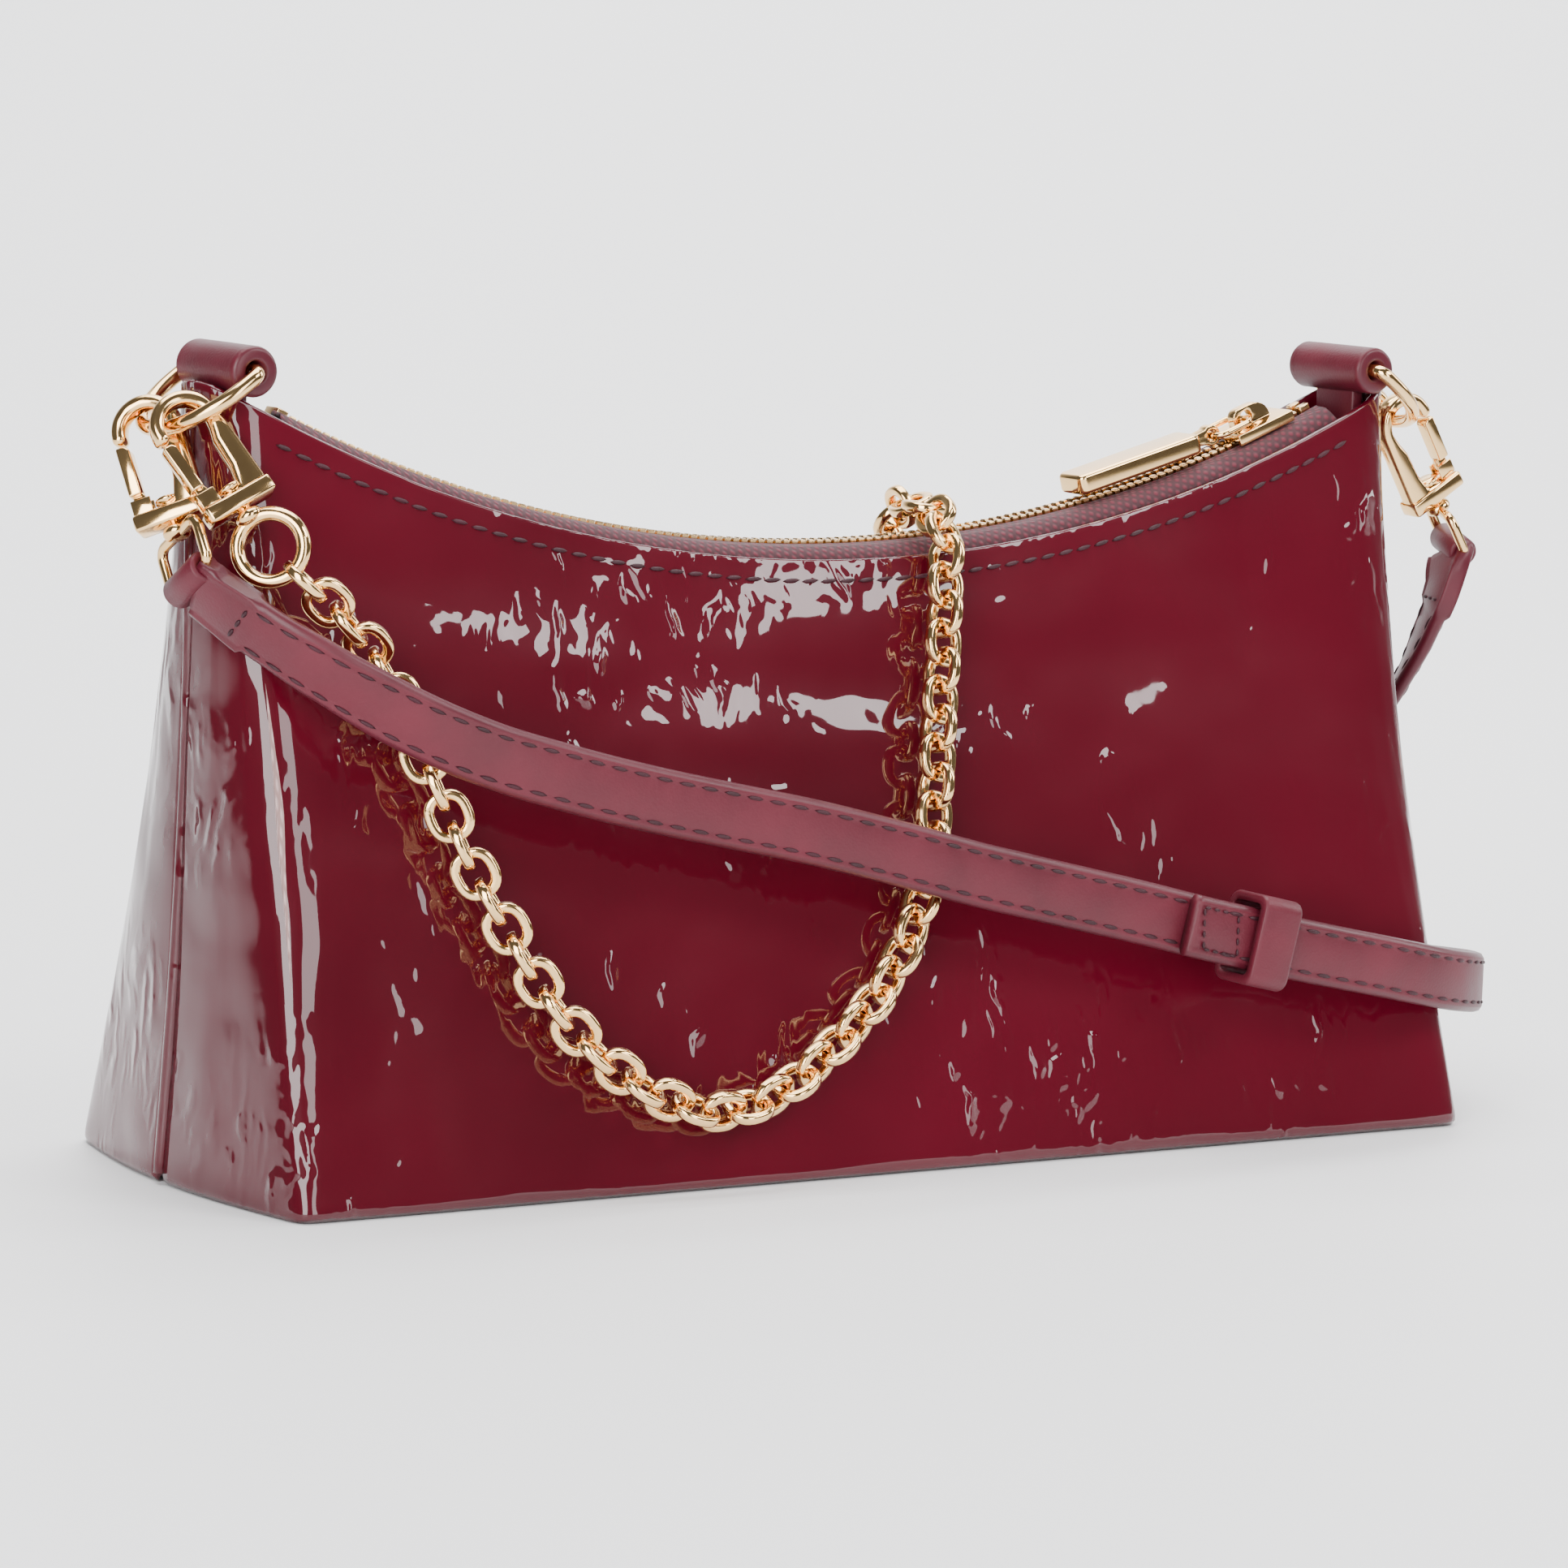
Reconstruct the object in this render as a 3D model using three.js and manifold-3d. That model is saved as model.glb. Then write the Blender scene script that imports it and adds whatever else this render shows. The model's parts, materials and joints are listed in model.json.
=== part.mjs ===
// Small zip-top clutch purse in patent leather, with a clip-on chain and a clip-on leather strap.
// Millimetres, +Z up, front face towards -Y. The origin is the middle of the flat base, on the ground.
import * as THREE from "three";
import { mergeVertices } from "three/addons/utils/BufferGeometryUtils.js";
import Module from "manifold-3d";

const wasm = await Module();
wasm.setup();

// Driving dimensions of the bag body.
const BASE_HALF_LENGTH = 129; // x of the bottom corners
const BASE_HALF_DEPTH = 45; // y of the bottom corners
const SEAM_BULGE = 6; // how far the side seam stands out past the bottom corners
const TOP_HALF_LENGTH = 132; // x of the side seams at the top
const TOP_CORNER_X = 125; // x where the front lip turns into the side
const LIP_HALF_DEPTH = 11; // y of the lips that the zip joins
const LIP_MID_Z = 111; // height of the lips in the middle
const LIP_RADIUS = 280; // radius of the saddle that the lips and the zip follow
const LIP_CENTRE_Z = LIP_MID_Z + LIP_RADIUS; // height of that arc's centre
const BELLY = 3; // extra fullness of the front and back
const LEATHER = 1.8;
const LINING = 0.7;
const GAP = 0.3; // clearance left between parts that touch

// Driving dimensions of the zip. Heights are above the lip line.
const ZIP_END_X = 118;
const TAPE = 0.8;
const TAPE_HEIGHT = 1.6;
const TEETH_LOW = 0.7;
const TEETH_HIGH = 3.3;
const TEETH_INNER = 0.7; // half the slot between the two rows
const TEETH_OUTER = 2.3;
const SLIDER_X = 105; // the slider's place when the zip is shut
const SLIDER_LENGTH = 14;

// Driving dimensions of the hardware.
const LOOP_X = 125; // the leather loops' axes run along Y at this x
const LOOP_Z = 146.8;
const LOOP_LENGTH = 23;
const LOOP_OUTER = 4.6;
const LOOP_INNER = 2.1;
const RING_WIRE = 1.4; // wire radius of the D-rings
const RING_HALF_WIDTH = 13.5;
const RING_LEG = 4.5;
const RING_HANG = new THREE.Vector3(-0.8, 0, -0.6).normalize(); // how the left ring hangs
const HOOK_INNER = 3.9;
const HOOK_OUTER = 6.5;
const HOOK_DEPTH = 3;
const BAR_SEAT = 0.8; // height of the D-ring's wire in the hook, above the hook's centre
const CHAIN_DIAMETER = 8.8;
const STRAP_WIDTH = 12;
const STRAP_THICKNESS = 3;

const colours = {
  patent: { color: 0x6b0014, roughness: 0.12, metalness: 0 },
  strapLeather: { color: 0x6d1a2e, roughness: 0.5, metalness: 0 },
  tape: { color: 0x6e1029, roughness: 0.85, metalness: 0 },
  lining: { color: 0x7a3140, roughness: 0.9, metalness: 0 },
  gold: { color: 0xe0a95c, roughness: 0.1, metalness: 1 },
  board: { color: 0x8a7458, roughness: 0.9, metalness: 0 },
};
const materials = Object.fromEntries(
  Object.entries(colours).map(([name, look]) => [name, new THREE.MeshStandardMaterial(look)]),
);

const V = (x, y, z) => new THREE.Vector3(x, y, z);
const root = new THREE.Group();

function addMesh(name, geometry, material, parent = root) {
  const mesh = new THREE.Mesh(geometry, materials[material]);
  mesh.name = name;
  parent.add(mesh);
  return mesh;
}

// ---- geometry helpers ----

function toSolid(geometry) {
  const bare = new THREE.BufferGeometry();
  bare.setAttribute("position", geometry.getAttribute("position"));
  if (geometry.index) bare.setIndex(geometry.index);
  const merged = mergeVertices(bare, 1e-4);
  return new wasm.Manifold(
    new wasm.Mesh({
      numProp: 3,
      vertProperties: new Float32Array(merged.attributes.position.array),
      triVerts: new Uint32Array(merged.index.array),
    }),
  );
}

function toGeometry(solid) {
  const mesh = solid.getMesh();
  const points = new Float32Array(mesh.numVert * 3);
  for (let i = 0; i < mesh.numVert; i++) {
    points.set(mesh.vertProperties.subarray(i * mesh.numProp, i * mesh.numProp + 3), i * 3);
  }
  const geometry = new THREE.BufferGeometry();
  geometry.setAttribute("position", new THREE.BufferAttribute(points, 3));
  geometry.setIndex(new THREE.BufferAttribute(new Uint32Array(mesh.triVerts), 1));
  return geometry;
}

const join = (...geometries) =>
  toGeometry(geometries.map(toSolid).reduce((whole, piece) => whole.add(piece)));

const cut = (geometry, ...tools) =>
  toGeometry(tools.map(toSolid).reduce((whole, tool) => whole.subtract(tool), toSolid(geometry)));

// A closed solid from rings of points: rings[i][j], joined ring to ring, with flat ends or closed round.
function skin(rings, closed = false) {
  const count = rings[0].length;
  const positions = rings.flat().flatMap((p) => [p.x, p.y, p.z]);
  const faces = [];
  const last = closed ? rings.length : rings.length - 1;
  for (let i = 0; i < last; i++) {
    const here = i * count;
    const next = ((i + 1) % rings.length) * count;
    for (let j = 0; j < count; j++) {
      const k = (j + 1) % count;
      faces.push(here + j, here + k, next + k, here + j, next + k, next + j);
    }
  }
  if (!closed) {
    const end = (rings.length - 1) * count;
    for (let j = 1; j < count - 1; j++) {
      faces.push(0, j + 1, j, end, end + j, end + j + 1);
    }
  }
  const geometry = new THREE.BufferGeometry();
  geometry.setAttribute("position", new THREE.Float32BufferAttribute(positions, 3));
  geometry.setIndex(facesOut(positions, faces));
  return geometry;
}

// The faces as given, or turned round when they enclose a negative volume.
function facesOut(positions, faces) {
  const corner = (i) => V(...positions.slice(3 * faces[i], 3 * faces[i] + 3));
  let volume = 0;
  for (let i = 0; i < faces.length; i += 3) volume += corner(i).dot(corner(i + 1).cross(corner(i + 2)));
  return volume < 0 ? faces.toReversed() : faces;
}

// Sweeps a section of [across, up] points along a line. The section's "across" follows the hints.
function sweep(line, section, hints, closed = false) {
  const rings = line.map((point, i) => {
    const before = closed ? line.at(i - 1) : line[Math.max(i - 1, 0)];
    const after = closed ? line[(i + 1) % line.length] : line[Math.min(i + 1, line.length - 1)];
    const tangent = after.clone().sub(before).normalize();
    const across = hints[i].clone().addScaledVector(tangent, -hints[i].dot(tangent)).normalize();
    const up = tangent.clone().cross(across);
    return section.map(([a, b]) => point.clone().addScaledVector(across, a).addScaledVector(up, b));
  });
  return skin(rings, closed);
}

const circleSection = (radius, sides) =>
  Array.from({ length: sides }, (_, i) => {
    const angle = (2 * Math.PI * i) / sides;
    return [radius * Math.cos(angle), radius * Math.sin(angle)];
  });

// A flat band's section with its four edges eased.
function bandSection(width, thickness, ease = 0.6) {
  const [w, t] = [width / 2, thickness / 2];
  return [
    [w, -t + ease], [w, t - ease], [w - ease, t], [-w + ease, t],
    [-w, t - ease], [-w, -t + ease], [-w + ease, -t], [w - ease, -t],
  ];
}

// An outline in the local XZ plane, extruded evenly to both sides along local Y.
function plate(shape, depth, curveSegments = 10) {
  const geometry = new THREE.ExtrudeGeometry(shape, { depth, bevelEnabled: false, curveSegments });
  geometry.translate(0, 0, -depth / 2);
  return geometry.rotateX(Math.PI / 2);
}

function boxAt(x, y, z, sizeX, sizeY, sizeZ) {
  return new THREE.BoxGeometry(sizeX, sizeY, sizeZ).translate(x, y, z);
}

// A group whose local Z points up the given axis and whose local Y leans to the given face direction.
function placed(origin, up, facing) {
  const z = up.clone().normalize();
  const y = facing.clone().addScaledVector(z, -facing.dot(z)).normalize();
  const x = y.clone().cross(z);
  const group = new THREE.Group();
  group.applyMatrix4(new THREE.Matrix4().makeBasis(x, y, z).setPosition(origin));
  root.add(group);
  return group;
}

// Evenly spaced points on a smooth curve, and a direction hint for each, carried between the knots.
function route(knots, count) {
  const curve = new THREE.CatmullRomCurve3(knots.map((k) => V(...k.at)), false, "centripetal");
  const lengths = curve.getLengths(40 * knots.length);
  const total = lengths.at(-1);
  const line = curve.getSpacedPoints(count);
  const knotAt = knots.map((_, i) => lengths[40 * i + Math.round((40 * i) / (knots.length - 1))] / total);
  const hints = line.map((_, i) => {
    const u = i / count;
    const k = Math.max(1, knotAt.findIndex((at) => at >= u - 1e-9));
    const share = THREE.MathUtils.clamp((u - knotAt[k - 1]) / (knotAt[k] - knotAt[k - 1]), 0, 1);
    return V(...knots[k - 1].across).normalize().lerp(V(...knots[k].across).normalize(), share).normalize();
  });
  return { line, hints };
}

// ---- the bag's shell ----

const lipZ = (x) => LIP_CENTRE_Z - Math.sqrt(LIP_RADIUS ** 2 - x ** 2);

// Where the shell's outer front surface is. s runs from -1, the left side seam, to 1, the right one,
// and v from 0 at the ground to 1 at the lip. The front proper ends at CORNER_S.
const CORNER_S = 0.8;
function shellPoint(s, v) {
  const side = Math.sign(s) || 1;
  const t = Math.min(Math.abs(s) / CORNER_S, 1);
  const w = Math.max((Math.abs(s) - CORNER_S) / (1 - CORNER_S), 0);
  const lowX = BASE_HALF_LENGTH * t + SEAM_BULGE * Math.sin((w * Math.PI) / 2);
  const topX = TOP_CORNER_X * t + (TOP_HALF_LENGTH - TOP_CORNER_X) * Math.sin((w * Math.PI) / 2);
  const lowY = BASE_HALF_DEPTH * (1 - w);
  const topY = LIP_HALF_DEPTH * (w > 0 ? Math.cos((w * Math.PI) / 2) : 1);
  const x = THREE.MathUtils.lerp(lowX, topX, v);
  const belly = BELLY * Math.sin(Math.PI * v) * Math.cos((Math.PI * Math.min(Math.abs(s), 1)) / 2);
  const flare = Math.pow(1 - v, 1 + 0.15 * t);
  const y = topY + (lowY - topY) * flare + belly;
  const waist = 2 * Math.sin(Math.PI * v) * w; // the sides draw in a little at half height
  return V(side * (x - waist), -y, v * lipZ(Math.min(x, TOP_HALF_LENGTH)));
}

// The shell's point moved inwards along its normal.
function insetPoint(s, v, inset) {
  const e = 1e-3;
  const [s0, s1] = [Math.max(s - e, -1), Math.min(s + e, 1)];
  const [v0, v1] = [Math.max(v - e, 0), Math.min(v + e, 1)];
  const along = shellPoint(s1, v).sub(shellPoint(s0, v));
  const rise = shellPoint(s, v1).sub(shellPoint(s, v0));
  const inwards = rise.cross(along).normalize();
  const point = shellPoint(s, v).addScaledVector(inwards, inset);
  point.z = Math.max(point.z, 0);
  return point;
}

// A curved sheet of the shell between two insets, over a range of s and v.
function shellSheet(inset, thickness, sValues, vValues) {
  const rings = sValues.map((s) => [
    ...vValues.map((v) => insetPoint(s, v, inset)),
    ...vValues.toReversed().map((v) => insetPoint(s, v, inset + thickness)),
  ]);
  return skin(rings);
}

const evenly = (from, to, count) =>
  Array.from({ length: count + 1 }, (_, i) => from + ((to - from) * i) / count);

// Steps in s that are closer round the corners than across the front. The last stops short of the side seam.
const SEAM_END = 0.993;
const halfSteps = [...evenly(0, CORNER_S - 0.04, 6), CORNER_S, ...evenly(CORNER_S + 0.03, SEAM_END, 3)];
const cornerSteps = [...halfSteps.slice(1).toReversed().map((s) => -s), ...halfSteps];

function addShell() {
  const front = shellSheet(0, LEATHER, cornerSteps, evenly(0, 1, 7));
  addMesh("front_panel", front, "patent");
  addMesh("back_panel", front.clone().rotateZ(Math.PI), "patent");
  const liner = shellSheet(LEATHER + 4 * GAP, LINING, cornerSteps.slice(1, -1), evenly(0.05, 0.97, 6));
  addMesh("lining_front", liner, "lining");
  addMesh("lining_back", liner.clone().rotateZ(Math.PI), "lining");
  const pocketInset = LEATHER + LINING + 6 * GAP;
  const pocket = shellSheet(pocketInset, 0.8, evenly(-0.36, 0.36, 8), evenly(0.3, 0.74, 4));
  addMesh("slip_pocket", pocket.rotateZ(Math.PI), "lining");
}

// A flat layer of the floor, shaped to the shell's own outline at the ground.
function floorLayer(inset, low, thickness) {
  const front = cornerSteps.map((s) => insetPoint(s, 0.01, inset));
  const outline = [...front, ...front.map((p) => V(-p.x, -p.y, 0))];
  const ring = (z) => outline.map((p) => V(p.x, p.y, z));
  return skin([ring(low), ring(low + thickness)]);
}

function addFloor() {
  const inset = LEATHER + 2 * GAP;
  addMesh("base_panel", floorLayer(inset, 0, LEATHER), "patent");
  addMesh("base_board", floorLayer(inset + 1.2, LEATHER + GAP, 1.2), "board");
  addMesh("lining_base", floorLayer(inset + 1.2, LEATHER + 1.2 + 2 * GAP, LINING), "lining");
}

// ---- the zip ----

const zipAngle = (x) => Math.asin(x / LIP_RADIUS);
const zipPoint = (angle, y, height) =>
  V((LIP_RADIUS - height) * Math.sin(angle), y, LIP_CENTRE_Z - (LIP_RADIUS - height) * Math.cos(angle));

// A strip that follows the zip's arc, from a section of [y, height] points.
const zipStrip = (section, fromX, toX, steps) =>
  skin(evenly(zipAngle(fromX), zipAngle(toX), steps).map((a) => section.map(([y, h]) => zipPoint(a, y, h))));

function addZip() {
  const flip = (section) => section.map(([y, h]) => [-y, h]).reverse();
  const [low, high] = [TAPE_HEIGHT, TAPE_HEIGHT + TAPE];
  const edge = LIP_HALF_DEPTH - LEATHER - GAP - 0.4; // the tape's outer edge, inside the panel
  const tapeSection = [
    [-TEETH_OUTER - GAP, high], [-TEETH_OUTER - GAP, low], [-6, low], [-edge, -0.6], [-edge, 0.2], [-6, high],
  ];
  const teethSection = [
    [-TEETH_INNER, TEETH_HIGH - 0.3], [-TEETH_INNER, TEETH_LOW + 0.3], [-1.1, TEETH_LOW],
    [-TEETH_OUTER, TEETH_LOW], [-TEETH_OUTER, TEETH_HIGH], [-1.1, TEETH_HIGH],
  ];
  const teethEnd = ZIP_END_X - 3.5;
  addMesh("zip_tape_front", zipStrip(tapeSection, -ZIP_END_X, ZIP_END_X, 20), "tape");
  addMesh("zip_tape_back", zipStrip(flip(tapeSection), -ZIP_END_X, ZIP_END_X, 20), "tape");
  addMesh("zip_teeth_front", zipStrip(teethSection, -teethEnd, teethEnd, 20), "gold");
  addMesh("zip_teeth_back", zipStrip(flip(teethSection), -teethEnd, teethEnd, 20), "gold");
  const stopSection = (from, to) => [
    [to, TEETH_HIGH + 0.3], [from, TEETH_HIGH + 0.3], [from, TEETH_LOW - 0.3], [to, TEETH_LOW - 0.3],
  ];
  const [stopFrom, stopTo] = [teethEnd + GAP, teethEnd + 2.6];
  addMesh("zip_top_stop_front", zipStrip(stopSection(-TEETH_OUTER, -TEETH_INNER), stopFrom, stopTo, 1), "gold");
  addMesh("zip_top_stop_back", zipStrip(stopSection(TEETH_INNER, TEETH_OUTER), stopFrom, stopTo, 1), "gold");
  addMesh("zip_bottom_stop", zipStrip(stopSection(-TEETH_OUTER, TEETH_OUTER), -stopTo, -stopFrom, 1), "gold");
}

// The slider's own group: local X along the zip, local Z away from the lip line.
function sliderGroup() {
  const angle = zipAngle(SLIDER_X);
  return placed(zipPoint(angle, 0, 0), V(-Math.sin(angle), 0, Math.cos(angle)), V(0, 1, 0));
}

const SLIDER_HALF_WIDTH = 5;
const SLIDER_TOP = 5; // height of the slider's upper face
const PULL_PIVOT = { x: -1.5, z: 6.3 }; // where the pull ring hangs in the bridge
const PULL_RING_LENGTH = 9; // between the middles of the ring's two end bars
const PULL_RING_HALF_WIDTH = 3.7;
const PULL_WIRE = 0.65;
const PULL_BAR = { length: 30, width: 8.4, thickness: 4, from: 4.5, lean: 6 }; // from: where the blade starts

function sliderGeometry() {
  const [w, lip, post] = [SLIDER_HALF_WIDTH, 0.8, 0.4];
  const [plateLow, plateHigh] = [-1, SLIDER_TOP];
  const inner = 1.2; // thickness of each plate
  const slot = [TAPE_HEIGHT - 0.4, TAPE_HEIGHT + TAPE + 0.4];
  const right = [
    [w, plateLow], [w, slot[0]], [w - lip, slot[0]], [w - lip, plateLow + inner],
    [post, plateLow + inner], [post, plateHigh - inner],
    [w - lip, plateHigh - inner], [w - lip, slot[1]], [w, slot[1]], [w, plateHigh],
  ];
  const left = right.map(([y, z]) => [-y, z]).reverse();
  const section = new THREE.Shape([...right, ...left].map(([y, z]) => new THREE.Vector2(y, z)));
  const body = new THREE.ExtrudeGeometry(section, { depth: SLIDER_LENGTH, bevelEnabled: false });
  body.translate(0, 0, -SLIDER_LENGTH / 2);
  body.applyMatrix4(new THREE.Matrix4().makeBasis(V(0, 1, 0), V(0, 0, 1), V(1, 0, 0)));
  const arch = new THREE.Shape();
  arch.moveTo(-4.6, 0);
  arch.lineTo(4.2, 0);
  arch.bezierCurveTo(4.2, 2.6, 2.4, 3.8, 0, 3.8);
  arch.lineTo(-2.6, 3.8);
  arch.bezierCurveTo(-4, 3.8, -4.6, 2.8, -4.6, 1.6);
  const window = new THREE.Shape();
  window.absarc(PULL_PIVOT.x, PULL_PIVOT.z - SLIDER_TOP + 0.2, 1.5, 0, 2 * Math.PI);
  const bridge = plate(arch, 2.2, 6);
  const hole = plate(window, 4, 5);
  return { body, bridge, hole };
}

// A closed wire loop in a plane: a stadium of the given half width and straight length.
function stadiumLine(halfWidth, straight, steps) {
  const line = [];
  const corner = Math.min(halfWidth, 2.2);
  const corners = [
    [halfWidth - corner, straight - corner, 0], [-halfWidth + corner, straight - corner, 1],
    [-halfWidth + corner, corner, 2], [halfWidth - corner, corner, 3],
  ];
  for (const [y, x, quarter] of corners) {
    for (let i = 0; i <= steps; i++) {
      const a = ((quarter + i / steps) * Math.PI) / 2;
      line.push([x + corner * Math.sin(a), y + corner * Math.cos(a)]);
    }
  }
  return line;
}

function addSlider() {
  const group = sliderGroup();
  const { body, bridge, hole } = sliderGeometry();
  bridge.translate(0, 0, SLIDER_TOP - 0.05);
  hole.translate(0, 0, SLIDER_TOP);
  addMesh("zip_slider", cut(join(body, bridge), hole), "gold", group);

  const ringLine = stadiumLine(PULL_RING_HALF_WIDTH, PULL_RING_LENGTH, 4)
    .map(([x, y]) => V(PULL_PIVOT.x - x, y, PULL_PIVOT.z));
  const flat = ringLine.map(() => V(0, 0, 1));
  addMesh("pull_ring", sweep(ringLine, circleSection(PULL_WIRE, 8), flat, true), "gold", group);

  // The pull bar hangs on the ring's far end and leans up a little, because the zip curves up under it.
  const bar = new THREE.Group();
  bar.position.set(PULL_PIVOT.x - PULL_RING_LENGTH, 0, PULL_PIVOT.z);
  bar.rotation.y = THREE.MathUtils.degToRad(PULL_BAR.lean);
  group.add(bar);
  const lug = new THREE.CylinderGeometry(2.1, 2.1, 2.4, 16);
  const neck = boxAt(-3, 0, 0, 5, 2.4, 2.6);
  const { length, width, thickness, from } = PULL_BAR;
  const blade = boxAt(-length / 2 - from, 0, 0, length, width, thickness);
  const eye = new THREE.CylinderGeometry(1.1, 1.1, 6, 12);
  addMesh("pull_bar", cut(join(blade, neck, lug), eye), "gold", bar);
}

// ---- loops, rings and clasps ----

function addLoop(name, side) {
  const outline = new THREE.Shape();
  outline.absarc(0, 0, LOOP_OUTER, 0, 2 * Math.PI);
  outline.holes.push(new THREE.Path().absarc(0, 0, LOOP_INNER, 0, 2 * Math.PI, true));
  const band = plate(outline, LOOP_LENGTH, 14);
  const tail = boxAt(0, 0, -8.2, 2.6, 12, 9.4);
  const loop = cut(join(band, tail), new THREE.CylinderGeometry(LOOP_INNER, LOOP_INNER, 40, 28));
  loop.translate(side * LOOP_X, 0, LOOP_Z);
  addMesh(name, loop, "strapLeather");
}

// The D-ring's wire line: y across, and how far it hangs from the loop's axis.
function dRingLine() {
  const line = [];
  const arcSteps = 14;
  const corner = 2.2;
  for (let i = 0; i <= arcSteps; i++) {
    const a = (Math.PI * i) / arcSteps;
    line.push([RING_HALF_WIDTH * Math.cos(a), RING_LEG + RING_HALF_WIDTH * Math.sin(a)]);
  }
  for (const [y, quarter] of [[-RING_HALF_WIDTH + corner, 0], [RING_HALF_WIDTH - corner, 1]]) {
    for (let i = 0; i <= 3; i++) {
      const a = ((quarter + i / 3) * Math.PI) / 2;
      line.push([y - corner * Math.cos(a), corner - corner * Math.sin(a)]);
    }
  }
  return line;
}

function ringPoint(side, y, hang) {
  return V(side * LOOP_X - side * RING_HANG.x * hang, y, LOOP_Z + RING_HANG.z * hang);
}

function addRing(name, side) {
  const line = dRingLine().map(([y, hang]) => ringPoint(side, y, hang));
  const normal = V(RING_HANG.z, 0, side * RING_HANG.x);
  addMesh(name, sweep(line, circleSection(RING_WIRE, 8), line.map(() => normal), true), "gold");
}

// Where a clasp's hook meets the ring's curve, at a given y.
const hookSeat = (side, y) => ringPoint(side, y, RING_LEG + Math.sqrt(RING_HALF_WIDTH ** 2 - y ** 2));

// Clasp in its own frame: the hook's centre is the origin, the swivel post runs down local Z,
// the spine is at +X and the gate at -X.
const COLLAR_TOP = -14.5;
const COLLAR_LOW = -18.5;
const GATE_PIVOT = { x: -4.6, z: -12.9 };
const GATE_PIN = 0.5; // radius of the pin, in a hole of GATE_PIN_HOLE
const GATE_PIN_HOLE = 0.8;
const gatePinHole = () =>
  new THREE.CylinderGeometry(GATE_PIN_HOLE, GATE_PIN_HOLE, 8, 8).translate(GATE_PIVOT.x, 0, GATE_PIVOT.z);

function hookGeometry() {
  const shape = new THREE.Shape();
  shape.moveTo(HOOK_OUTER, COLLAR_LOW);
  shape.lineTo(HOOK_OUTER, 0);
  shape.absarc(0, 0, HOOK_OUTER, 0, Math.PI);
  shape.lineTo(-HOOK_OUTER, -1.2);
  shape.lineTo(-HOOK_INNER, -1.2);
  shape.lineTo(-HOOK_INNER, 0);
  shape.absarc(0, 0, HOOK_INNER, Math.PI, 0, true);
  shape.lineTo(HOOK_INNER, COLLAR_TOP);
  shape.lineTo(-2.6, COLLAR_TOP);
  shape.lineTo(-2.6, -12);
  shape.lineTo(-HOOK_OUTER, -12);
  shape.lineTo(-HOOK_OUTER, COLLAR_LOW);
  const body = plate(shape, HOOK_DEPTH, 6);
  const collar = boxAt(0, 0, (COLLAR_TOP + COLLAR_LOW) / 2 - 0.3, 13.4, 4.8, 3.2);
  const slot = boxAt(-5, 0, -12.85, 5, 2.4, 3.5);
  const bore = new THREE.CylinderGeometry(1.6, 1.6, 8, 12).rotateX(Math.PI / 2).translate(0, 0, -17);
  return cut(join(body, collar), slot, gatePinHole(), bore);
}

function gateGeometry() {
  const blade = boxAt(-5.1, 0, -6.45, 2.4, 3.4, 9.7);
  const neck = boxAt(-4.7, 0, -12, 2, 1.8, 2.2);
  const knuckle = new THREE.CylinderGeometry(1.4, 1.4, 1.8, 12).translate(GATE_PIVOT.x, 0, GATE_PIVOT.z);
  return cut(join(blade, neck, knuckle), gatePinHole());
}

const postProfile = [
  [0, -13.2], [2.3, -13.2], [2.3, -14.2], [1.3, -14.2], [1.3, -18.9], [2.5, -19.4], [2.5, -20.8], [0, -21.2],
];
const swivelPost = () =>
  new THREE.LatheGeometry(postProfile.toReversed().map(([r, z]) => new THREE.Vector2(r, z)), 12).rotateX(Math.PI / 2);

const ROUND_EYE = { centre: -26.6, radius: 6, wire: 1.35 };
function roundEyeGeometry() {
  const ring = new THREE.TorusGeometry(ROUND_EYE.radius, ROUND_EYE.wire, 8, 18).rotateX(Math.PI / 2);
  return join(swivelPost(), ring.translate(0, 0, ROUND_EYE.centre));
}

const STRAP_EYE = { halfWidth: 7.6, top: -20.2, bar: -29.2, wire: 1 };
function strapEyeGeometry() {
  const { halfWidth, top, bar, wire } = STRAP_EYE;
  const line = stadiumLine(halfWidth, top - bar, 3).map(([drop, across]) => V(across, 0, top - drop));
  const frame = sweep(line, circleSection(wire, 8), line.map(() => V(0, 1, 0)), true);
  return join(swivelPost(), frame);
}

// One clasp: the eye keeps its own facing, and the hook and gate turn on the swivel post.
function addClasp(name, { seat, up, hookFacing, eyeFacing, eye, mirrored }) {
  const axis = up.clone().normalize();
  const origin = seat.clone().addScaledVector(axis, -BAR_SEAT);
  const hookGroup = placed(origin, axis, hookFacing);
  if (mirrored) hookGroup.rotateZ(Math.PI);
  addMesh(`${name}_hook`, hookGeometry(), "gold", hookGroup);
  addMesh(`${name}_gate`, gateGeometry(), "gold", hookGroup);
  const pin = new THREE.CylinderGeometry(GATE_PIN, GATE_PIN, HOOK_DEPTH - 0.2, 8);
  pin.translate(GATE_PIVOT.x, 0, GATE_PIVOT.z);
  addMesh(`${name}_gate_pin`, pin, "gold", hookGroup);
  const eyeGroup = placed(origin, axis, eyeFacing);
  addMesh(`${name}_eye`, eye(), "gold", eyeGroup);
}

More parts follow.
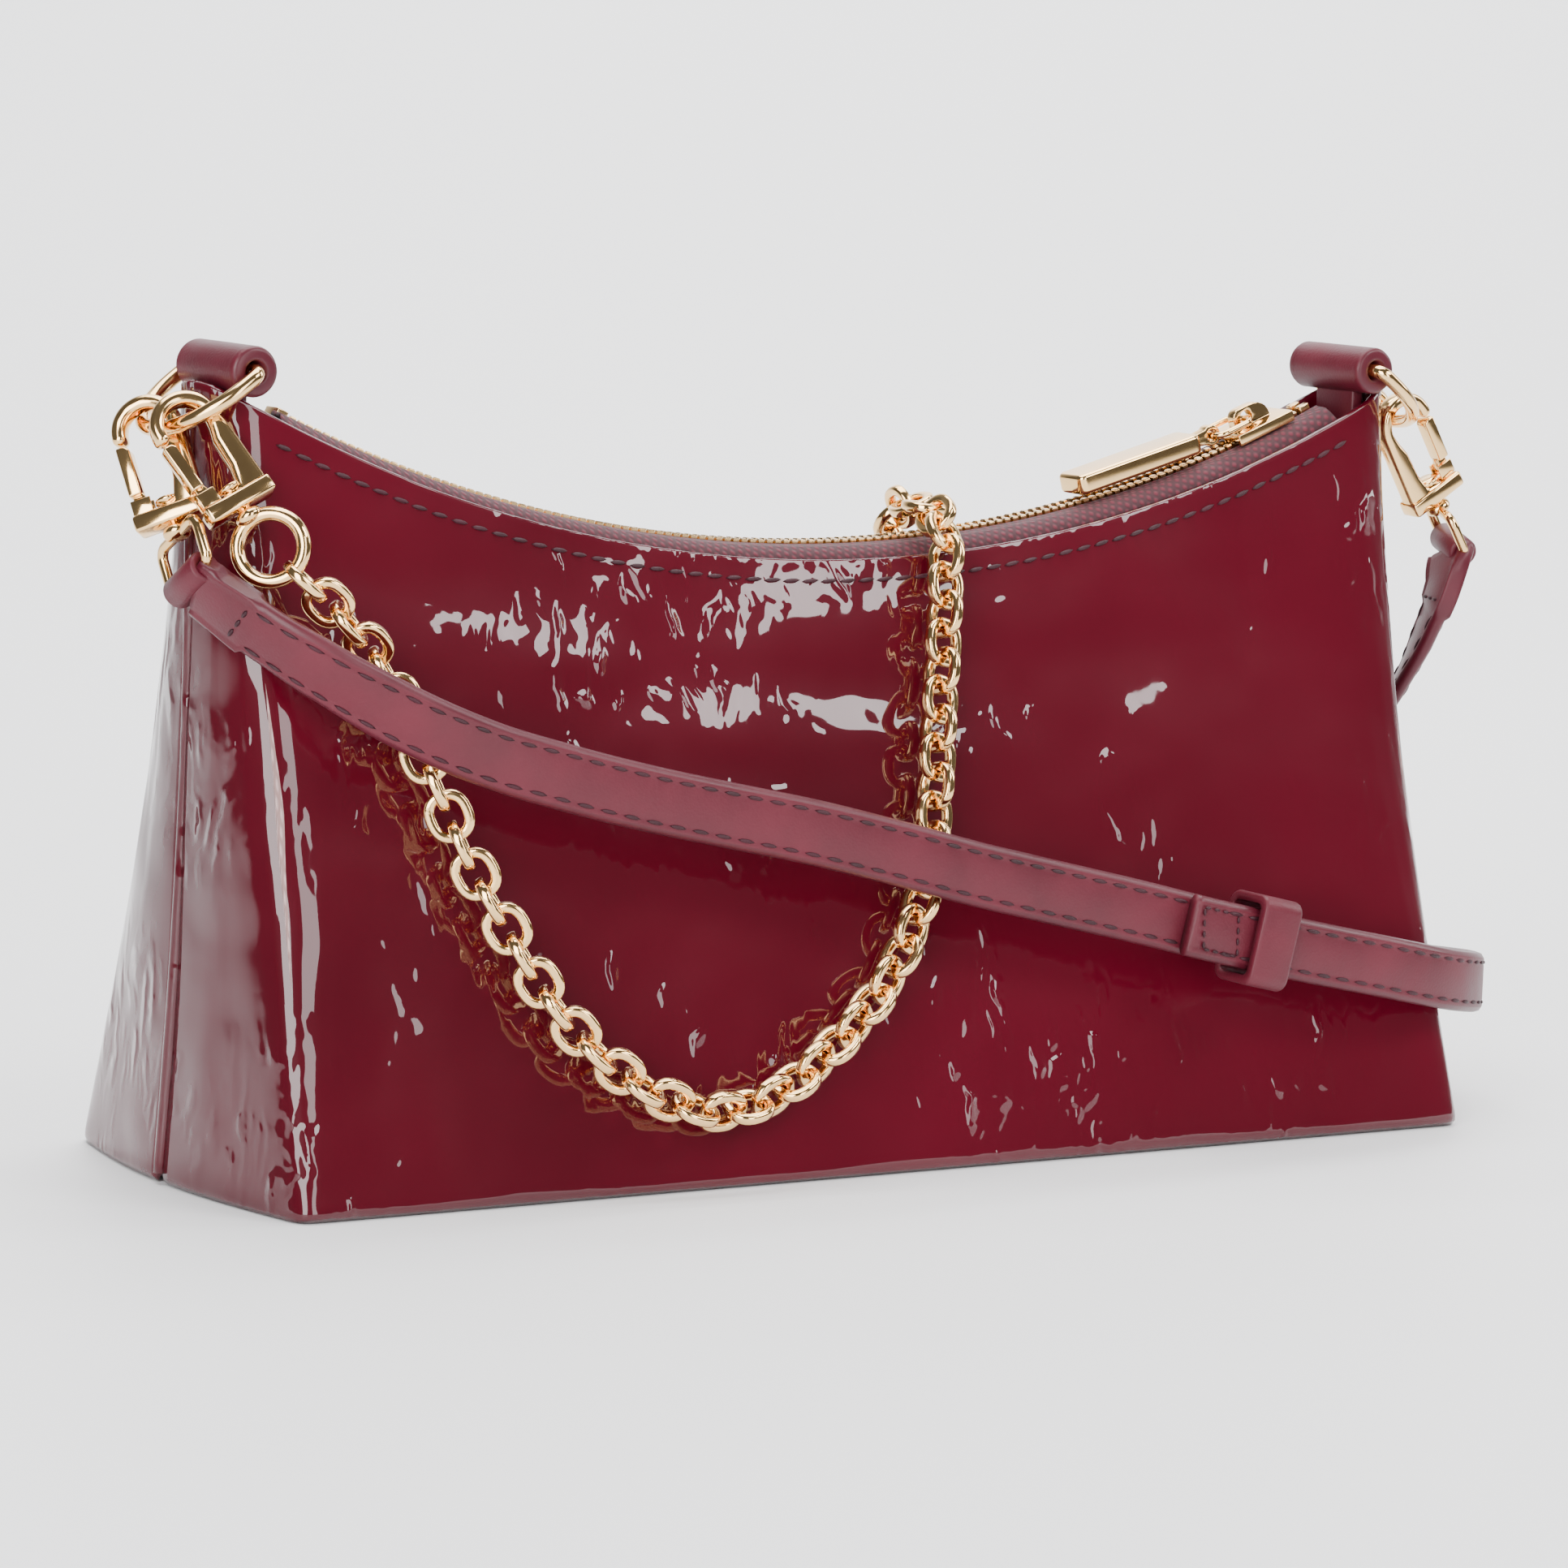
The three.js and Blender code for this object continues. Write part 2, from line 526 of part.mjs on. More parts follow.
const CHAIN_HOOK_Y = 8; // where the chain's and the strap's hooks sit along the ring's curve
const STRAP_HOOK_Y = 2.5;
const CHAIN_CLASP_UP = V(-0.374, 0.53, 0.762);
const CHAIN_HOOK_FACING = V(-0.3, -0.85, 0.44);
const CHAIN_EYE_FACING = V(-0.6, -0.78, 0.1);
const LEFT_STRAP_UP = V(-0.06, 0.5, 0.86);
const LEFT_STRAP_FACING = V(-0.67, -0.66, 0.34);
const LEFT_STRAP_BAR = V(0, -0.86, 0.5); // direction of the eye's bar, which the strap wraps
const RIGHT_STRAP_UP = V(-0.53, -0.05, 0.845);
const RIGHT_STRAP_BAR = V(0.3, 0.95, 0.2);
const halfTurn = (v) => V(-v.x, -v.y, v.z);

const clasps = {
  left_chain: {
    seat: hookSeat(-1, -CHAIN_HOOK_Y), up: CHAIN_CLASP_UP, hookFacing: CHAIN_HOOK_FACING,
    eyeFacing: CHAIN_EYE_FACING, eye: roundEyeGeometry, mirrored: true,
  },
  left_strap: {
    seat: hookSeat(-1, STRAP_HOOK_Y), up: LEFT_STRAP_UP, hookFacing: LEFT_STRAP_FACING,
    eyeFacing: LEFT_STRAP_UP.clone().cross(LEFT_STRAP_BAR), eye: strapEyeGeometry, mirrored: true,
  },
  right_strap: {
    seat: hookSeat(1, -STRAP_HOOK_Y), up: RIGHT_STRAP_UP, hookFacing: V(0, -1, 0),
    eyeFacing: RIGHT_STRAP_UP.clone().cross(RIGHT_STRAP_BAR), eye: strapEyeGeometry, mirrored: false,
  },
  right_chain: {
    seat: hookSeat(1, CHAIN_HOOK_Y), up: halfTurn(CHAIN_CLASP_UP), hookFacing: halfTurn(CHAIN_HOOK_FACING),
    eyeFacing: halfTurn(CHAIN_EYE_FACING), eye: roundEyeGeometry, mirrored: true,
  },
};

// A point in a clasp's swivel frame, at a distance down its axis.
const downClasp = ({ seat, up }, z) => seat.clone().addScaledVector(up.clone().normalize(), z - BAR_SEAT);

// ---- the chain and the strap ----

// The chain hangs in a loop over the front, crosses the zip and drops behind to the right-hand ring.
const CHAIN_FRONT = [
  [-117.6, -27.2, 107], [-112.6, -27.4, 102.2], [-106, -27.2, 94.5], [-101.5, -29.6, 84], [-97, -32.6, 72.5],
  [-92.5, -35.6, 61], [-86.5, -38.8, 49.5], [-79.5, -41.8, 37.5], [-70, -44.6, 26.5], [-58, -46.6, 18.5],
  [-46.3, -47.6, 15], [-34, -47, 17], [-21, -45.2, 24.2], [-9, -42.8, 33.8], [-0.2, -39.8, 45],
  [5.6, -36.2, 57], [9.3, -32, 70.2], [12.4, -27.6, 83], [15.7, -23.2, 95], [18.6, -18.9, 106.5],
  [21.2, -14.2, 115.6], [23, -7, 119.8], [24.2, -0.6, 120.2],
];
const CHAIN_BACK = [
  [24.4, 0.4, 120.2], [25.8, 7, 119.8], [28, 14.2, 116], [31.5, 19.4, 106.5], [38, 23.8, 95.5],
  [48, 27, 88], [61, 28.6, 84.5], [75, 28.8, 85.5], [88, 27.8, 90], [99, 27, 96], [109, 27, 101.5],
  [117.6, 27.2, 107],
];

function addChain() {
  const section = circleSection(CHAIN_DIAMETER / 2, 8);
  for (const [name, points, steps] of [["chain_front", CHAIN_FRONT, 34], ["chain_back", CHAIN_BACK, 18]]) {
    const { line, hints } = route(points.map((at) => ({ at, across: [0.2, 1, 0.3] })), steps);
    addMesh(name, sweep(line, section, hints), "gold");
  }
}

// Knots of the strap: where its middle runs, and the direction of its width there.
const UPRIGHT = [0, 0, 1];
const STRAP_LEFT = [
  { at: [-129.6, -25.2, 102], across: [0.1, -0.72, 0.69] },
  { at: [-121.5, -32, 96], across: [0.1, -0.55, 0.83] },
  { at: [-107, -37, 87.6], across: [0.1, -0.3, 0.95] },
  { at: [-91.6, -39.4, 81], across: [0.1, -0.2, 0.97] },
  { at: [-75.7, -40.8, 76.2], across: UPRIGHT },
  { at: [-59.2, -41.6, 72], across: UPRIGHT },
  { at: [-42.5, -42.5, 68.4], across: UPRIGHT },
  { at: [-25.5, -43.5, 64.8], across: UPRIGHT },
  { at: [-8.2, -44.5, 60.5], across: UPRIGHT },
  { at: [9.4, -45.3, 55.8], across: UPRIGHT },
  { at: [27.3, -46, 51.5], across: UPRIGHT },
  { at: [45.5, -46.4, 47.2], across: UPRIGHT },
  { at: [63.6, -46.7, 42.7], across: UPRIGHT },
  { at: [82.5, -46.7, 38.3], across: UPRIGHT },
  { at: [100, -45.9, 34.5], across: UPRIGHT },
  { at: [116, -43.6, 31], across: UPRIGHT },
];
const STRAP_RIGHT = [
  { at: [151.2, -3.6, 103.2], across: [0.3, 0.95, 0] },
  { at: [149.4, -1, 94], across: [0.4, 0.9, 0] },
  { at: [147, 4, 82], across: [0.6, 0.75, 0.1] },
  { at: [144.5, 12, 70], across: [0.8, 0.5, 0.3] },
  { at: [141.5, 22, 56], across: [0.8, 0.3, 0.5] },
  { at: [135, 36, 41], across: [0.6, 0.2, 0.75] },
  { at: [121, 49, 28], across: [0.3, 0.1, 0.95] },
  { at: [99, 54.5, 18], across: UPRIGHT },
  { at: [71, 56, 11.5], across: UPRIGHT },
  { at: [42, 56.5, 8.5], across: UPRIGHT },
  { at: [18, 57, 7.4], across: UPRIGHT },
  { at: [5, 60, 7.2], across: UPRIGHT },
  { at: [-3, 69, 7.2], across: UPRIGHT },
  { at: [1.5, 79.5, 7.2], across: UPRIGHT },
  { at: [13, 84.5, 7.2], across: UPRIGHT },
  { at: [30, 85.5, 7.4], across: UPRIGHT },
  { at: [55, 84.5, 7.8], across: UPRIGHT },
  { at: [80, 81.5, 8.8], across: UPRIGHT },
  { at: [105, 75, 10.8], across: UPRIGHT },
  { at: [127, 63, 13.6], across: UPRIGHT },
  { at: [144, 45, 17], across: UPRIGHT },
  { at: [151.5, 23, 20], across: UPRIGHT },
  { at: [152.5, 2, 22.2], across: UPRIGHT },
  { at: [149, -18, 24.2], across: UPRIGHT },
  { at: [139.5, -34, 26.4], across: UPRIGHT },
  { at: [124, -44.6, 29.4], across: UPRIGHT },
  { at: [103.2, -49.2, 33.9], across: UPRIGHT },
  { at: [82.5, -50.2, 38.3], across: UPRIGHT },
  { at: [63.6, -50.1, 42.7], across: UPRIGHT },
  { at: [56.4, -49.8, 44.4], across: UPRIGHT },
];

// The fold of leather that wraps a clasp's bar, joined to the start of its strap.
const FOLD_OUTER = 3;
const FOLD_INNER = 1.35;
function foldGeometry(centre, along) {
  const half = along.clone().normalize().multiplyScalar(STRAP_WIDTH / 2);
  const line = [centre.clone().sub(half), centre.clone().add(half)];
  const hint = line.map(() => V(along.y, -along.x, 0.3));
  const solid = sweep(line, circleSection(FOLD_OUTER, 16), hint);
  half.multiplyScalar(1.5);
  const through = [centre.clone().sub(half), centre.clone().add(half)];
  return { solid, through: sweep(through, circleSection(FOLD_INNER, 12), hint) };
}

function addStrap(name, knots, clasp, bar, steps) {
  const centre = downClasp(clasp, STRAP_EYE.bar);
  const { solid, through } = foldGeometry(centre, bar);
  const towards = V(...knots[0].at).sub(centre).normalize();
  const first = centre.clone().addScaledVector(towards, 1.9);
  const full = [{ at: first.toArray(), across: bar.toArray() }, ...knots];
  const { line, hints } = route(full, steps);
  const strip = sweep(line, bandSection(STRAP_WIDTH, STRAP_THICKNESS), hints);
  addMesh(name, cut(join(strip, solid), through), "strapLeather");
}

// The keeper is a leather band round both layers of strap, free to slide along them.
const KEEPER_AT = V(74, -48.4, 40.25);
const KEEPER_ALONG = V(18.9, 0, -4.4).normalize();
const KEEPER_HALF_DEPTH = 6.1;
const KEEPER_HALF_WIDTH = 8.8;
const KEEPER_LENGTH = 9;

function addKeeper() {
  const roundedBox = (path, halfDepth, halfWidth, r) => {
    path.absarc(halfDepth - r, halfWidth - r, r, 0, Math.PI / 2);
    path.absarc(-halfDepth + r, halfWidth - r, r, Math.PI / 2, Math.PI);
    path.absarc(-halfDepth + r, -halfWidth + r, r, Math.PI, 1.5 * Math.PI);
    path.absarc(halfDepth - r, -halfWidth + r, r, 1.5 * Math.PI, 2 * Math.PI);
    return path;
  };
  const outline = roundedBox(new THREE.Shape(), KEEPER_HALF_DEPTH, KEEPER_HALF_WIDTH, 2.6);
  const wall = 1.8;
  outline.holes.push(roundedBox(new THREE.Path(), KEEPER_HALF_DEPTH - wall, KEEPER_HALF_WIDTH - wall, 1.2));
  const band = new THREE.ExtrudeGeometry(outline, { depth: KEEPER_LENGTH, bevelEnabled: false, curveSegments: 4 });
  band.translate(0, 0, -KEEPER_LENGTH / 2);
  const normal = V(0, -1, 0);
  const width = KEEPER_ALONG.clone().cross(normal);
  band.applyMatrix4(new THREE.Matrix4().makeBasis(normal, width, normal.clone().cross(width)).setPosition(KEEPER_AT));
  addMesh("strap_keeper", band, "strapLeather");
}

addShell();
addFloor();
addZip();
addSlider();
addLoop("left_loop", -1);
addLoop("right_loop", 1);
addRing("left_ring", -1);
addRing("right_ring", 1);
for (const [name, options] of Object.entries(clasps)) addClasp(name, options);
addChain();
addStrap("strap_left", STRAP_LEFT, clasps.left_strap, LEFT_STRAP_BAR, 40);
addStrap("strap_right", STRAP_RIGHT, clasps.right_strap, RIGHT_STRAP_BAR, 60);
addKeeper();

export default root;
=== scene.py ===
"""Small zip-top clutch purse in burgundy patent leather, with a clip-on chain and a clip-on strap.

Metres, +Z up, front face towards -Y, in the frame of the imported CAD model.
"""

import json
import math

import bmesh
import bpy
import numpy as np
from mathutils import Matrix, Vector


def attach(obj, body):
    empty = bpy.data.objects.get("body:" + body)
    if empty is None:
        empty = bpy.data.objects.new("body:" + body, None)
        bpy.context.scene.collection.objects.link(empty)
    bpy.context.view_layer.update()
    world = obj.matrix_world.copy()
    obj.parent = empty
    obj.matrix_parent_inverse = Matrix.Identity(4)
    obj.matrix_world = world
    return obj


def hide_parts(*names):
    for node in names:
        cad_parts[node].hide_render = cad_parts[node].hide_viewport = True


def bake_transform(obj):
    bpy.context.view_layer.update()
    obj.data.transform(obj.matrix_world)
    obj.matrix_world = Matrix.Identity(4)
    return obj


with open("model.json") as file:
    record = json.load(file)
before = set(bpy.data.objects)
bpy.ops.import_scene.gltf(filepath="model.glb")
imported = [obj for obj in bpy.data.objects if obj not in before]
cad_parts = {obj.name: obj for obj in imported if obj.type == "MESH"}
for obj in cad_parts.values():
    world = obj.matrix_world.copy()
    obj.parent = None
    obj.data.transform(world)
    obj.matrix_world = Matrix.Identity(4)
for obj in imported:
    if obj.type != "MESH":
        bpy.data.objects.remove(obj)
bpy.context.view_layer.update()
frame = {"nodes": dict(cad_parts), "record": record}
RECORD = frame["record"]
JOINTS = {j["name"]: j for j in RECORD["behaviour"]["joints"]}
MM = 0.001

# ---------------------------------------------------------------- camera

CAMERA_AZIMUTH = math.radians(-32.81)
CAMERA_ELEVATION = math.radians(6.96)
CAMERA_ROLL = math.radians(2.0)
CAMERA_DISTANCE = 1.150
CAMERA_TARGET = Vector((0, 0, 0.070))


def add_camera():
    back = Vector((
        math.sin(CAMERA_AZIMUTH) * math.cos(CAMERA_ELEVATION),
        -math.cos(CAMERA_AZIMUTH) * math.cos(CAMERA_ELEVATION),
        math.sin(CAMERA_ELEVATION),
    ))
    data = bpy.data.cameras.new("camera")
    data.sensor_width = 36
    data.lens = 138.32
    data.shift_x = -0.0116
    data.shift_y = -0.0090
    data.clip_start = 0.01
    data.clip_end = 20
    camera = bpy.data.objects.new("camera", data)
    turn = back.to_track_quat("Z", "Y").to_matrix() @ Matrix.Rotation(CAMERA_ROLL, 3, "Z")
    camera.matrix_world = Matrix.Translation(CAMERA_TARGET + back * CAMERA_DISTANCE) @ turn.to_4x4()
    bpy.context.scene.collection.objects.link(camera)
    bpy.context.scene.camera = camera


add_camera()

# ---------------------------------------------------------------- mesh helpers


def add_object(name, vertices, faces, material, smooth=True):
    mesh = bpy.data.meshes.new(name)
    mesh.from_pydata([tuple(v) for v in vertices], [], faces)
    mesh.validate()
    mesh.update()
    for polygon in mesh.polygons:
        polygon.use_smooth = smooth
    piece = bpy.data.objects.new(name, mesh)
    bpy.context.scene.collection.objects.link(piece)
    if material:
        piece.data.materials.append(material)
    return piece


def fix_normals(piece):
    bm = bmesh.new()
    bm.from_mesh(piece.data)
    bmesh.ops.recalc_face_normals(bm, faces=bm.faces)
    bm.to_mesh(piece.data)
    bm.free()
    return piece


def apply_modifiers(piece):
    bpy.context.view_layer.update()
    evaluated = piece.evaluated_get(bpy.context.evaluated_depsgraph_get())
    mesh = bpy.data.meshes.new_from_object(evaluated)
    piece.modifiers.clear()
    piece.data = mesh
    return piece


def bevel(piece, width, segments=3, angle=30):
    modifier = piece.modifiers.new("edges", "BEVEL")
    modifier.width = width
    modifier.segments = segments
    modifier.limit_method = "ANGLE"
    modifier.angle_limit = math.radians(angle)
    modifier.harden_normals = False
    return apply_modifiers(piece)


def joined(name, pieces):
    """One object from several, keeping their materials."""
    bpy.ops.object.select_all(action="DESELECT")
    for piece in pieces:
        piece.select_set(True)
    bpy.context.view_layer.objects.active = pieces[0]
    bpy.ops.object.join()
    pieces[0].name = name
    pieces[0].data.name = name
    return pieces[0]


def placed(piece, node, body):
    """Hides the CAD node that a finished piece stands for, and hangs the piece on the body it moves with."""
    if node:
        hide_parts(node)
    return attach(piece, body)


def ring_faces(rows, size, closed=False):
    """Faces between neighbouring rows of points, where each row closes on itself."""
    faces = []
    for i in range(rows if closed else rows - 1):
        here, there = i * size, ((i + 1) % rows) * size
        for j in range(size):
            k = (j + 1) % size
            faces.append((here + j, here + k, there + k, there + j))
    return faces


def ring_caps(rows, size):
    """The faces that close the first and the last row."""
    return [tuple(range(size))[::-1], tuple((rows - 1) * size + j for j in range(size))]


def gathered(meshes):
    """One list of vertices and one of faces from several pairs of them."""
    vertices, faces = [], []
    for more, joins in meshes:
        offset = len(vertices)
        vertices += more
        faces += [tuple(offset + v for v in face) for face in joins]
    return vertices, faces


def sweep(line, section, across, closed=False):
    """Vertices and faces of a section of (across, up) points carried along a line."""
    count = len(line)
    vertices = []
    for i, point in enumerate(line):
        before = line[i - 1] if closed or i else line[0]
        after = line[(i + 1) % count] if closed or i < count - 1 else line[-1]
        tangent = (after - before).normalized()
        side = (across[i] - tangent * across[i].dot(tangent)).normalized()
        up = tangent.cross(side)
        vertices += [point + side * a + up * b for a, b in section]
    faces = ring_faces(count, len(section), closed)
    return vertices, faces if closed else faces + ring_caps(count, len(section))


def circle(radius, sides):
    angles = [2 * math.pi * i / sides for i in range(sides)]
    return [(radius * math.cos(a), radius * math.sin(a)) for a in angles]


SPLINE_STEPS = 24  # points on the curve between two knots


def dense(knots, count):
    """Evenly spaced points on a centripetal Catmull-Rom curve through the knots."""
    points = [Vector(k) for k in knots]
    points = [2 * points[0] - points[1]] + points + [2 * points[-1] - points[-2]]
    fine = []
    for i in range(1, len(points) - 2):
        p0, p1, p2, p3 = points[i - 1:i + 3]
        t0 = 0.0
        t1 = t0 + max((p1 - p0).length, 1e-9) ** 0.5
        t2 = t1 + max((p2 - p1).length, 1e-9) ** 0.5
        t3 = t2 + max((p3 - p2).length, 1e-9) ** 0.5
        for step in range(SPLINE_STEPS):
            t = t1 + (t2 - t1) * step / SPLINE_STEPS
            a1 = (t1 - t) / (t1 - t0) * p0 + (t - t0) / (t1 - t0) * p1
            a2 = (t2 - t) / (t2 - t1) * p1 + (t - t1) / (t2 - t1) * p2
            a3 = (t3 - t) / (t3 - t2) * p2 + (t - t2) / (t3 - t2) * p3
            b1 = (t2 - t) / (t2 - t0) * a1 + (t - t0) / (t2 - t0) * a2
            b2 = (t3 - t) / (t3 - t1) * a2 + (t - t1) / (t3 - t1) * a3
            fine.append((t2 - t) / (t2 - t1) * b1 + (t - t1) / (t2 - t1) * b2)
    fine.append(points[-2])
    coords = np.array([tuple(p) for p in fine])
    along = np.concatenate([[0], np.cumsum(np.linalg.norm(np.diff(coords, axis=0), axis=1))])
    wanted = np.linspace(0, along[-1], count + 1)
    line = [Vector([float(np.interp(w, along, coords[:, c])) for c in range(3)]) for w in wanted]
    return line, float(along[-1])


def hints_along(line, knots, directions):
    """A direction for each point of a line, from the directions given at its knots."""
    at = []
    for knot in knots:
        at.append(min(range(len(line)), key=lambda i: (line[i] - Vector(knot)).length))
    for i in range(1, len(at)):
        at[i] = max(at[i], at[i - 1])
    out = []
    for i in range(len(line)):
        k = next((n for n in range(1, len(at)) if at[n] >= i), len(at) - 1)
        share = min(max((i - at[k - 1]) / max(at[k] - at[k - 1], 1), 0), 1)
        share = share * share * (3 - 2 * share)
        before, after = Vector(directions[k - 1]).normalized(), Vector(directions[k]).normalized()
        out.append(before.lerp(after, share).normalized())
    return out


# ---------------------------------------------------------------- materials


def new_material(name):
    material = bpy.data.materials.new(name)
    material.use_nodes = True
    nodes, links = material.node_tree.nodes, material.node_tree.links
    return material, nodes, links, nodes["Principled BSDF"]


def set_inputs(node, **values):
    """Gives values to inputs, whose names have _ for a space."""
    for name, value in values.items():
        node.inputs[name.replace("_", " ")].default_value = value


def add_node(nodes, kind, **values):
    """A node with its settings, and with its inputs where the name starts with in_."""
    node = nodes.new(kind)
    for key, value in values.items():
        if key.startswith("in_"):
            set_inputs(node, **{key[3:]: value})
        else:
            setattr(node, key, value)
    return node


def coordinates(nodes):
    return add_node(nodes, "ShaderNodeTexCoord").outputs["Object"]


def texture(nodes, links, kind, **values):
    """A texture in the object's own coordinates."""
    node = add_node(nodes, kind, **values)
    links.new(coordinates(nodes), node.inputs["Vector"])
    return node


def ramp(nodes, stops):
    node = nodes.new("ShaderNodeValToRGB")
    elements = node.color_ramp.elements
    while len(elements) < len(stops):
        elements.new(0.5)
    for element, (position, colour) in zip(elements, stops):
        element.position = position
        element.color = (*colour, 1) if len(colour) == 3 else colour
    return node


def tinted(nodes, links, output, stops, target):
    """Carries an output through a colour ramp to an input."""
    colour = ramp(nodes, stops)
    links.new(output, colour.inputs["Fac"])
    links.new(colour.outputs["Color"], target)


def bumped(nodes, links, height, strength, distance):
    """The bump that a height output makes."""
    bump = add_node(nodes, "ShaderNodeBump", in_Strength=strength, in_Distance=distance)
    links.new(height, bump.inputs["Height"])
    return bump


def patent_material():
    """Deep burgundy leather under a thick clear coat, glassy but for patches of fine creases."""
    material, nodes, links, shader = new_material("patent_leather")
    tone = texture(nodes, links, "ShaderNodeTexNoise", in_Scale=9.0, in_Detail=3.0)
    stops = [(0.3, (0.050, 0.0003, 0.0046)), (0.72, (0.082, 0.0006, 0.0080))]
    tinted(nodes, links, tone.outputs["Fac"], stops, shader.inputs["Base Color"])
    set_inputs(
        shader, Roughness=0.42, Specular_IOR_Level=0.05, Coat_Weight=1.0, Coat_Roughness=0.03, Coat_IOR=1.52,
    )
    swell = texture(nodes, links, "ShaderNodeTexNoise", in_Scale=24.0, in_Detail=2.0, in_Roughness=0.4)
    swell_bump = bumped(nodes, links, swell.outputs["Fac"], 0.6, 0.0085)

    # Creases: ridges drawn out along a slant, which show only in patches.
    warp = texture(nodes, links, "ShaderNodeTexNoise", in_Scale=55.0, in_Detail=3.0)
    push = add_node(nodes, "ShaderNodeVectorMath", operation="SCALE", in_Scale=0.010)
    links.new(warp.outputs["Color"], push.inputs[0])
    moved = add_node(nodes, "ShaderNodeVectorMath", operation="ADD")
    links.new(coordinates(nodes), moved.inputs[0])
    links.new(push.outputs["Vector"], moved.inputs[1])
    stretch = add_node(nodes, "ShaderNodeMapping", in_Rotation=(0.0, 0.7, 0.0), in_Scale=(1.0, 1.0, 0.35))
    links.new(moved.outputs["Vector"], stretch.inputs["Vector"])
    crease = add_node(
        nodes, "ShaderNodeTexNoise", noise_type="RIDGED_MULTIFRACTAL",
        in_Scale=260.0, in_Detail=5.0, in_Roughness=0.6,
    )
    links.new(stretch.outputs["Vector"], crease.inputs["Vector"])
    patch = texture(nodes, links, "ShaderNodeTexNoise", in_Scale=30.0, in_Detail=3.0)
    masked = add_node(nodes, "ShaderNodeMath", operation="MULTIPLY")
    links.new(crease.outputs["Fac"], masked.inputs[0])
    tinted(nodes, links, patch.outputs["Fac"], [(0.44, (0, 0, 0)), (0.66, (1, 1, 1))], masked.inputs[1])
    bump = bumped(nodes, links, masked.outputs["Value"], 1.0, 0.0015)
    links.new(swell_bump.outputs["Normal"], bump.inputs["Normal"])
    links.new(bump.outputs["Normal"], shader.inputs["Coat Normal"])
    links.new(swell_bump.outputs["Normal"], shader.inputs["Normal"])
    return material


def strap_material(name, dark, light, roughness, grain=1.0):
    """Smooth wine leather with a soft grain, satin finish and slight tone variation."""
    material, nodes, links, shader = new_material(name)
    tone = texture(nodes, links, "ShaderNodeTexNoise", in_Scale=70.0, in_Detail=5.0).outputs["Fac"]
    tinted(nodes, links, tone, [(0.32, dark), (0.7, light)], shader.inputs["Base Color"])
    set_inputs(shader, Specular_IOR_Level=0.35, Coat_Weight=0.06, Coat_Roughness=0.35)
    stops = [(0.3, (roughness - 0.06,) * 3), (0.75, (roughness + 0.08,) * 3)]
    tinted(nodes, links, tone, stops, shader.inputs["Roughness"])
    pores = texture(nodes, links, "ShaderNodeTexVoronoi", in_Scale=1900.0)
    bump = bumped(nodes, links, pores.outputs["Distance"], 0.16 * grain, 0.0002)
    links.new(bump.outputs["Normal"], shader.inputs["Normal"])
    return material


def gold_material(name="polished_gold", roughness=0.09, shade=(0.94, 0.61, 0.27)):
    """Polished light gold plate, with faint polishing marks and smudges."""
    material, nodes, links, shader = new_material(name)
    smudge = texture(nodes, links, "ShaderNodeTexNoise", in_Scale=140.0, in_Detail=6.0).outputs["Fac"]
    stops = [(0.3, tuple(c * 0.93 for c in shade)), (0.7, shade)]
    tinted(nodes, links, smudge, stops, shader.inputs["Base Color"])
    set_inputs(shader, Metallic=1.0)
    stops = [(0.35, (roughness,) * 3), (0.75, (roughness + 0.07,) * 3)]
    tinted(nodes, links, smudge, stops, shader.inputs["Roughness"])
    scratch = texture(nodes, links, "ShaderNodeTexNoise", in_Scale=900.0, in_Detail=3.0)
    bump = bumped(nodes, links, scratch.outputs["Fac"], 0.04, 0.0001)
    links.new(bump.outputs["Normal"], shader.inputs["Normal"])
    return material


def weave_material(name, dark, light, across, along, sheen):
    """Woven cloth: slanting ribs one way crossed by ribs the other way."""
    material, nodes, links, shader = new_material(name)
    both = add_node(nodes, "ShaderNodeMath", operation="MULTIPLY")
    for slot, (angle, scale) in enumerate(((0.0, along), (math.pi / 2, across))):
        turn = add_node(nodes, "ShaderNodeMapping", in_Rotation=(0, 0, angle + 0.5))
        links.new(coordinates(nodes), turn.inputs["Vector"])
        wave = add_node(
            nodes, "ShaderNodeTexWave", wave_type="BANDS", bands_direction="X",
            in_Scale=scale, in_Distortion=0.6,
        )
        links.new(turn.outputs["Vector"], wave.inputs["Vector"])
        links.new(wave.outputs["Fac"], both.inputs[slot])
    height = both.outputs["Value"]
    tinted(nodes, links, height, [(0.05, dark), (0.7, light)], shader.inputs["Base Color"])
    set_inputs(shader, Roughness=0.75, Sheen_Weight=sheen)
    bump = bumped(nodes, links, height, 0.5, 0.0003)
    links.new(bump.outputs["Normal"], shader.inputs["Normal"])
    return material


PATENT = patent_material()
STRAP = strap_material("strap_leather", (0.072, 0.0040, 0.0115), (0.102, 0.0070, 0.0175), 0.50)
STRAP_EDGE = strap_material("edge_paint", (0.058, 0.0035, 0.0100), (0.082, 0.0055, 0.0145), 0.40, grain=0.3)
THREAD = strap_material("thread", (0.018, 0.0008, 0.0040), (0.040, 0.0020, 0.0090), 0.6, grain=2.0)
GOLD = gold_material()
TEETH = gold_material("zip_gold", 0.18, (0.86, 0.57, 0.28))
TAPE = weave_material("zip_tape", (0.036, 0.0015, 0.0065), (0.105, 0.0045, 0.0170), 260.0, 210.0, 0.05)
LINING = weave_material("lining_cloth", (0.30, 0.18, 0.17), (0.50, 0.34, 0.33), 330.0, 330.0, 0.2)
BOARD = weave_material("board_fibre", (0.25, 0.18, 0.12), (0.40, 0.31, 0.22), 90.0, 55.0, 0.0)

# ---------------------------------------------------------------- clasp frames

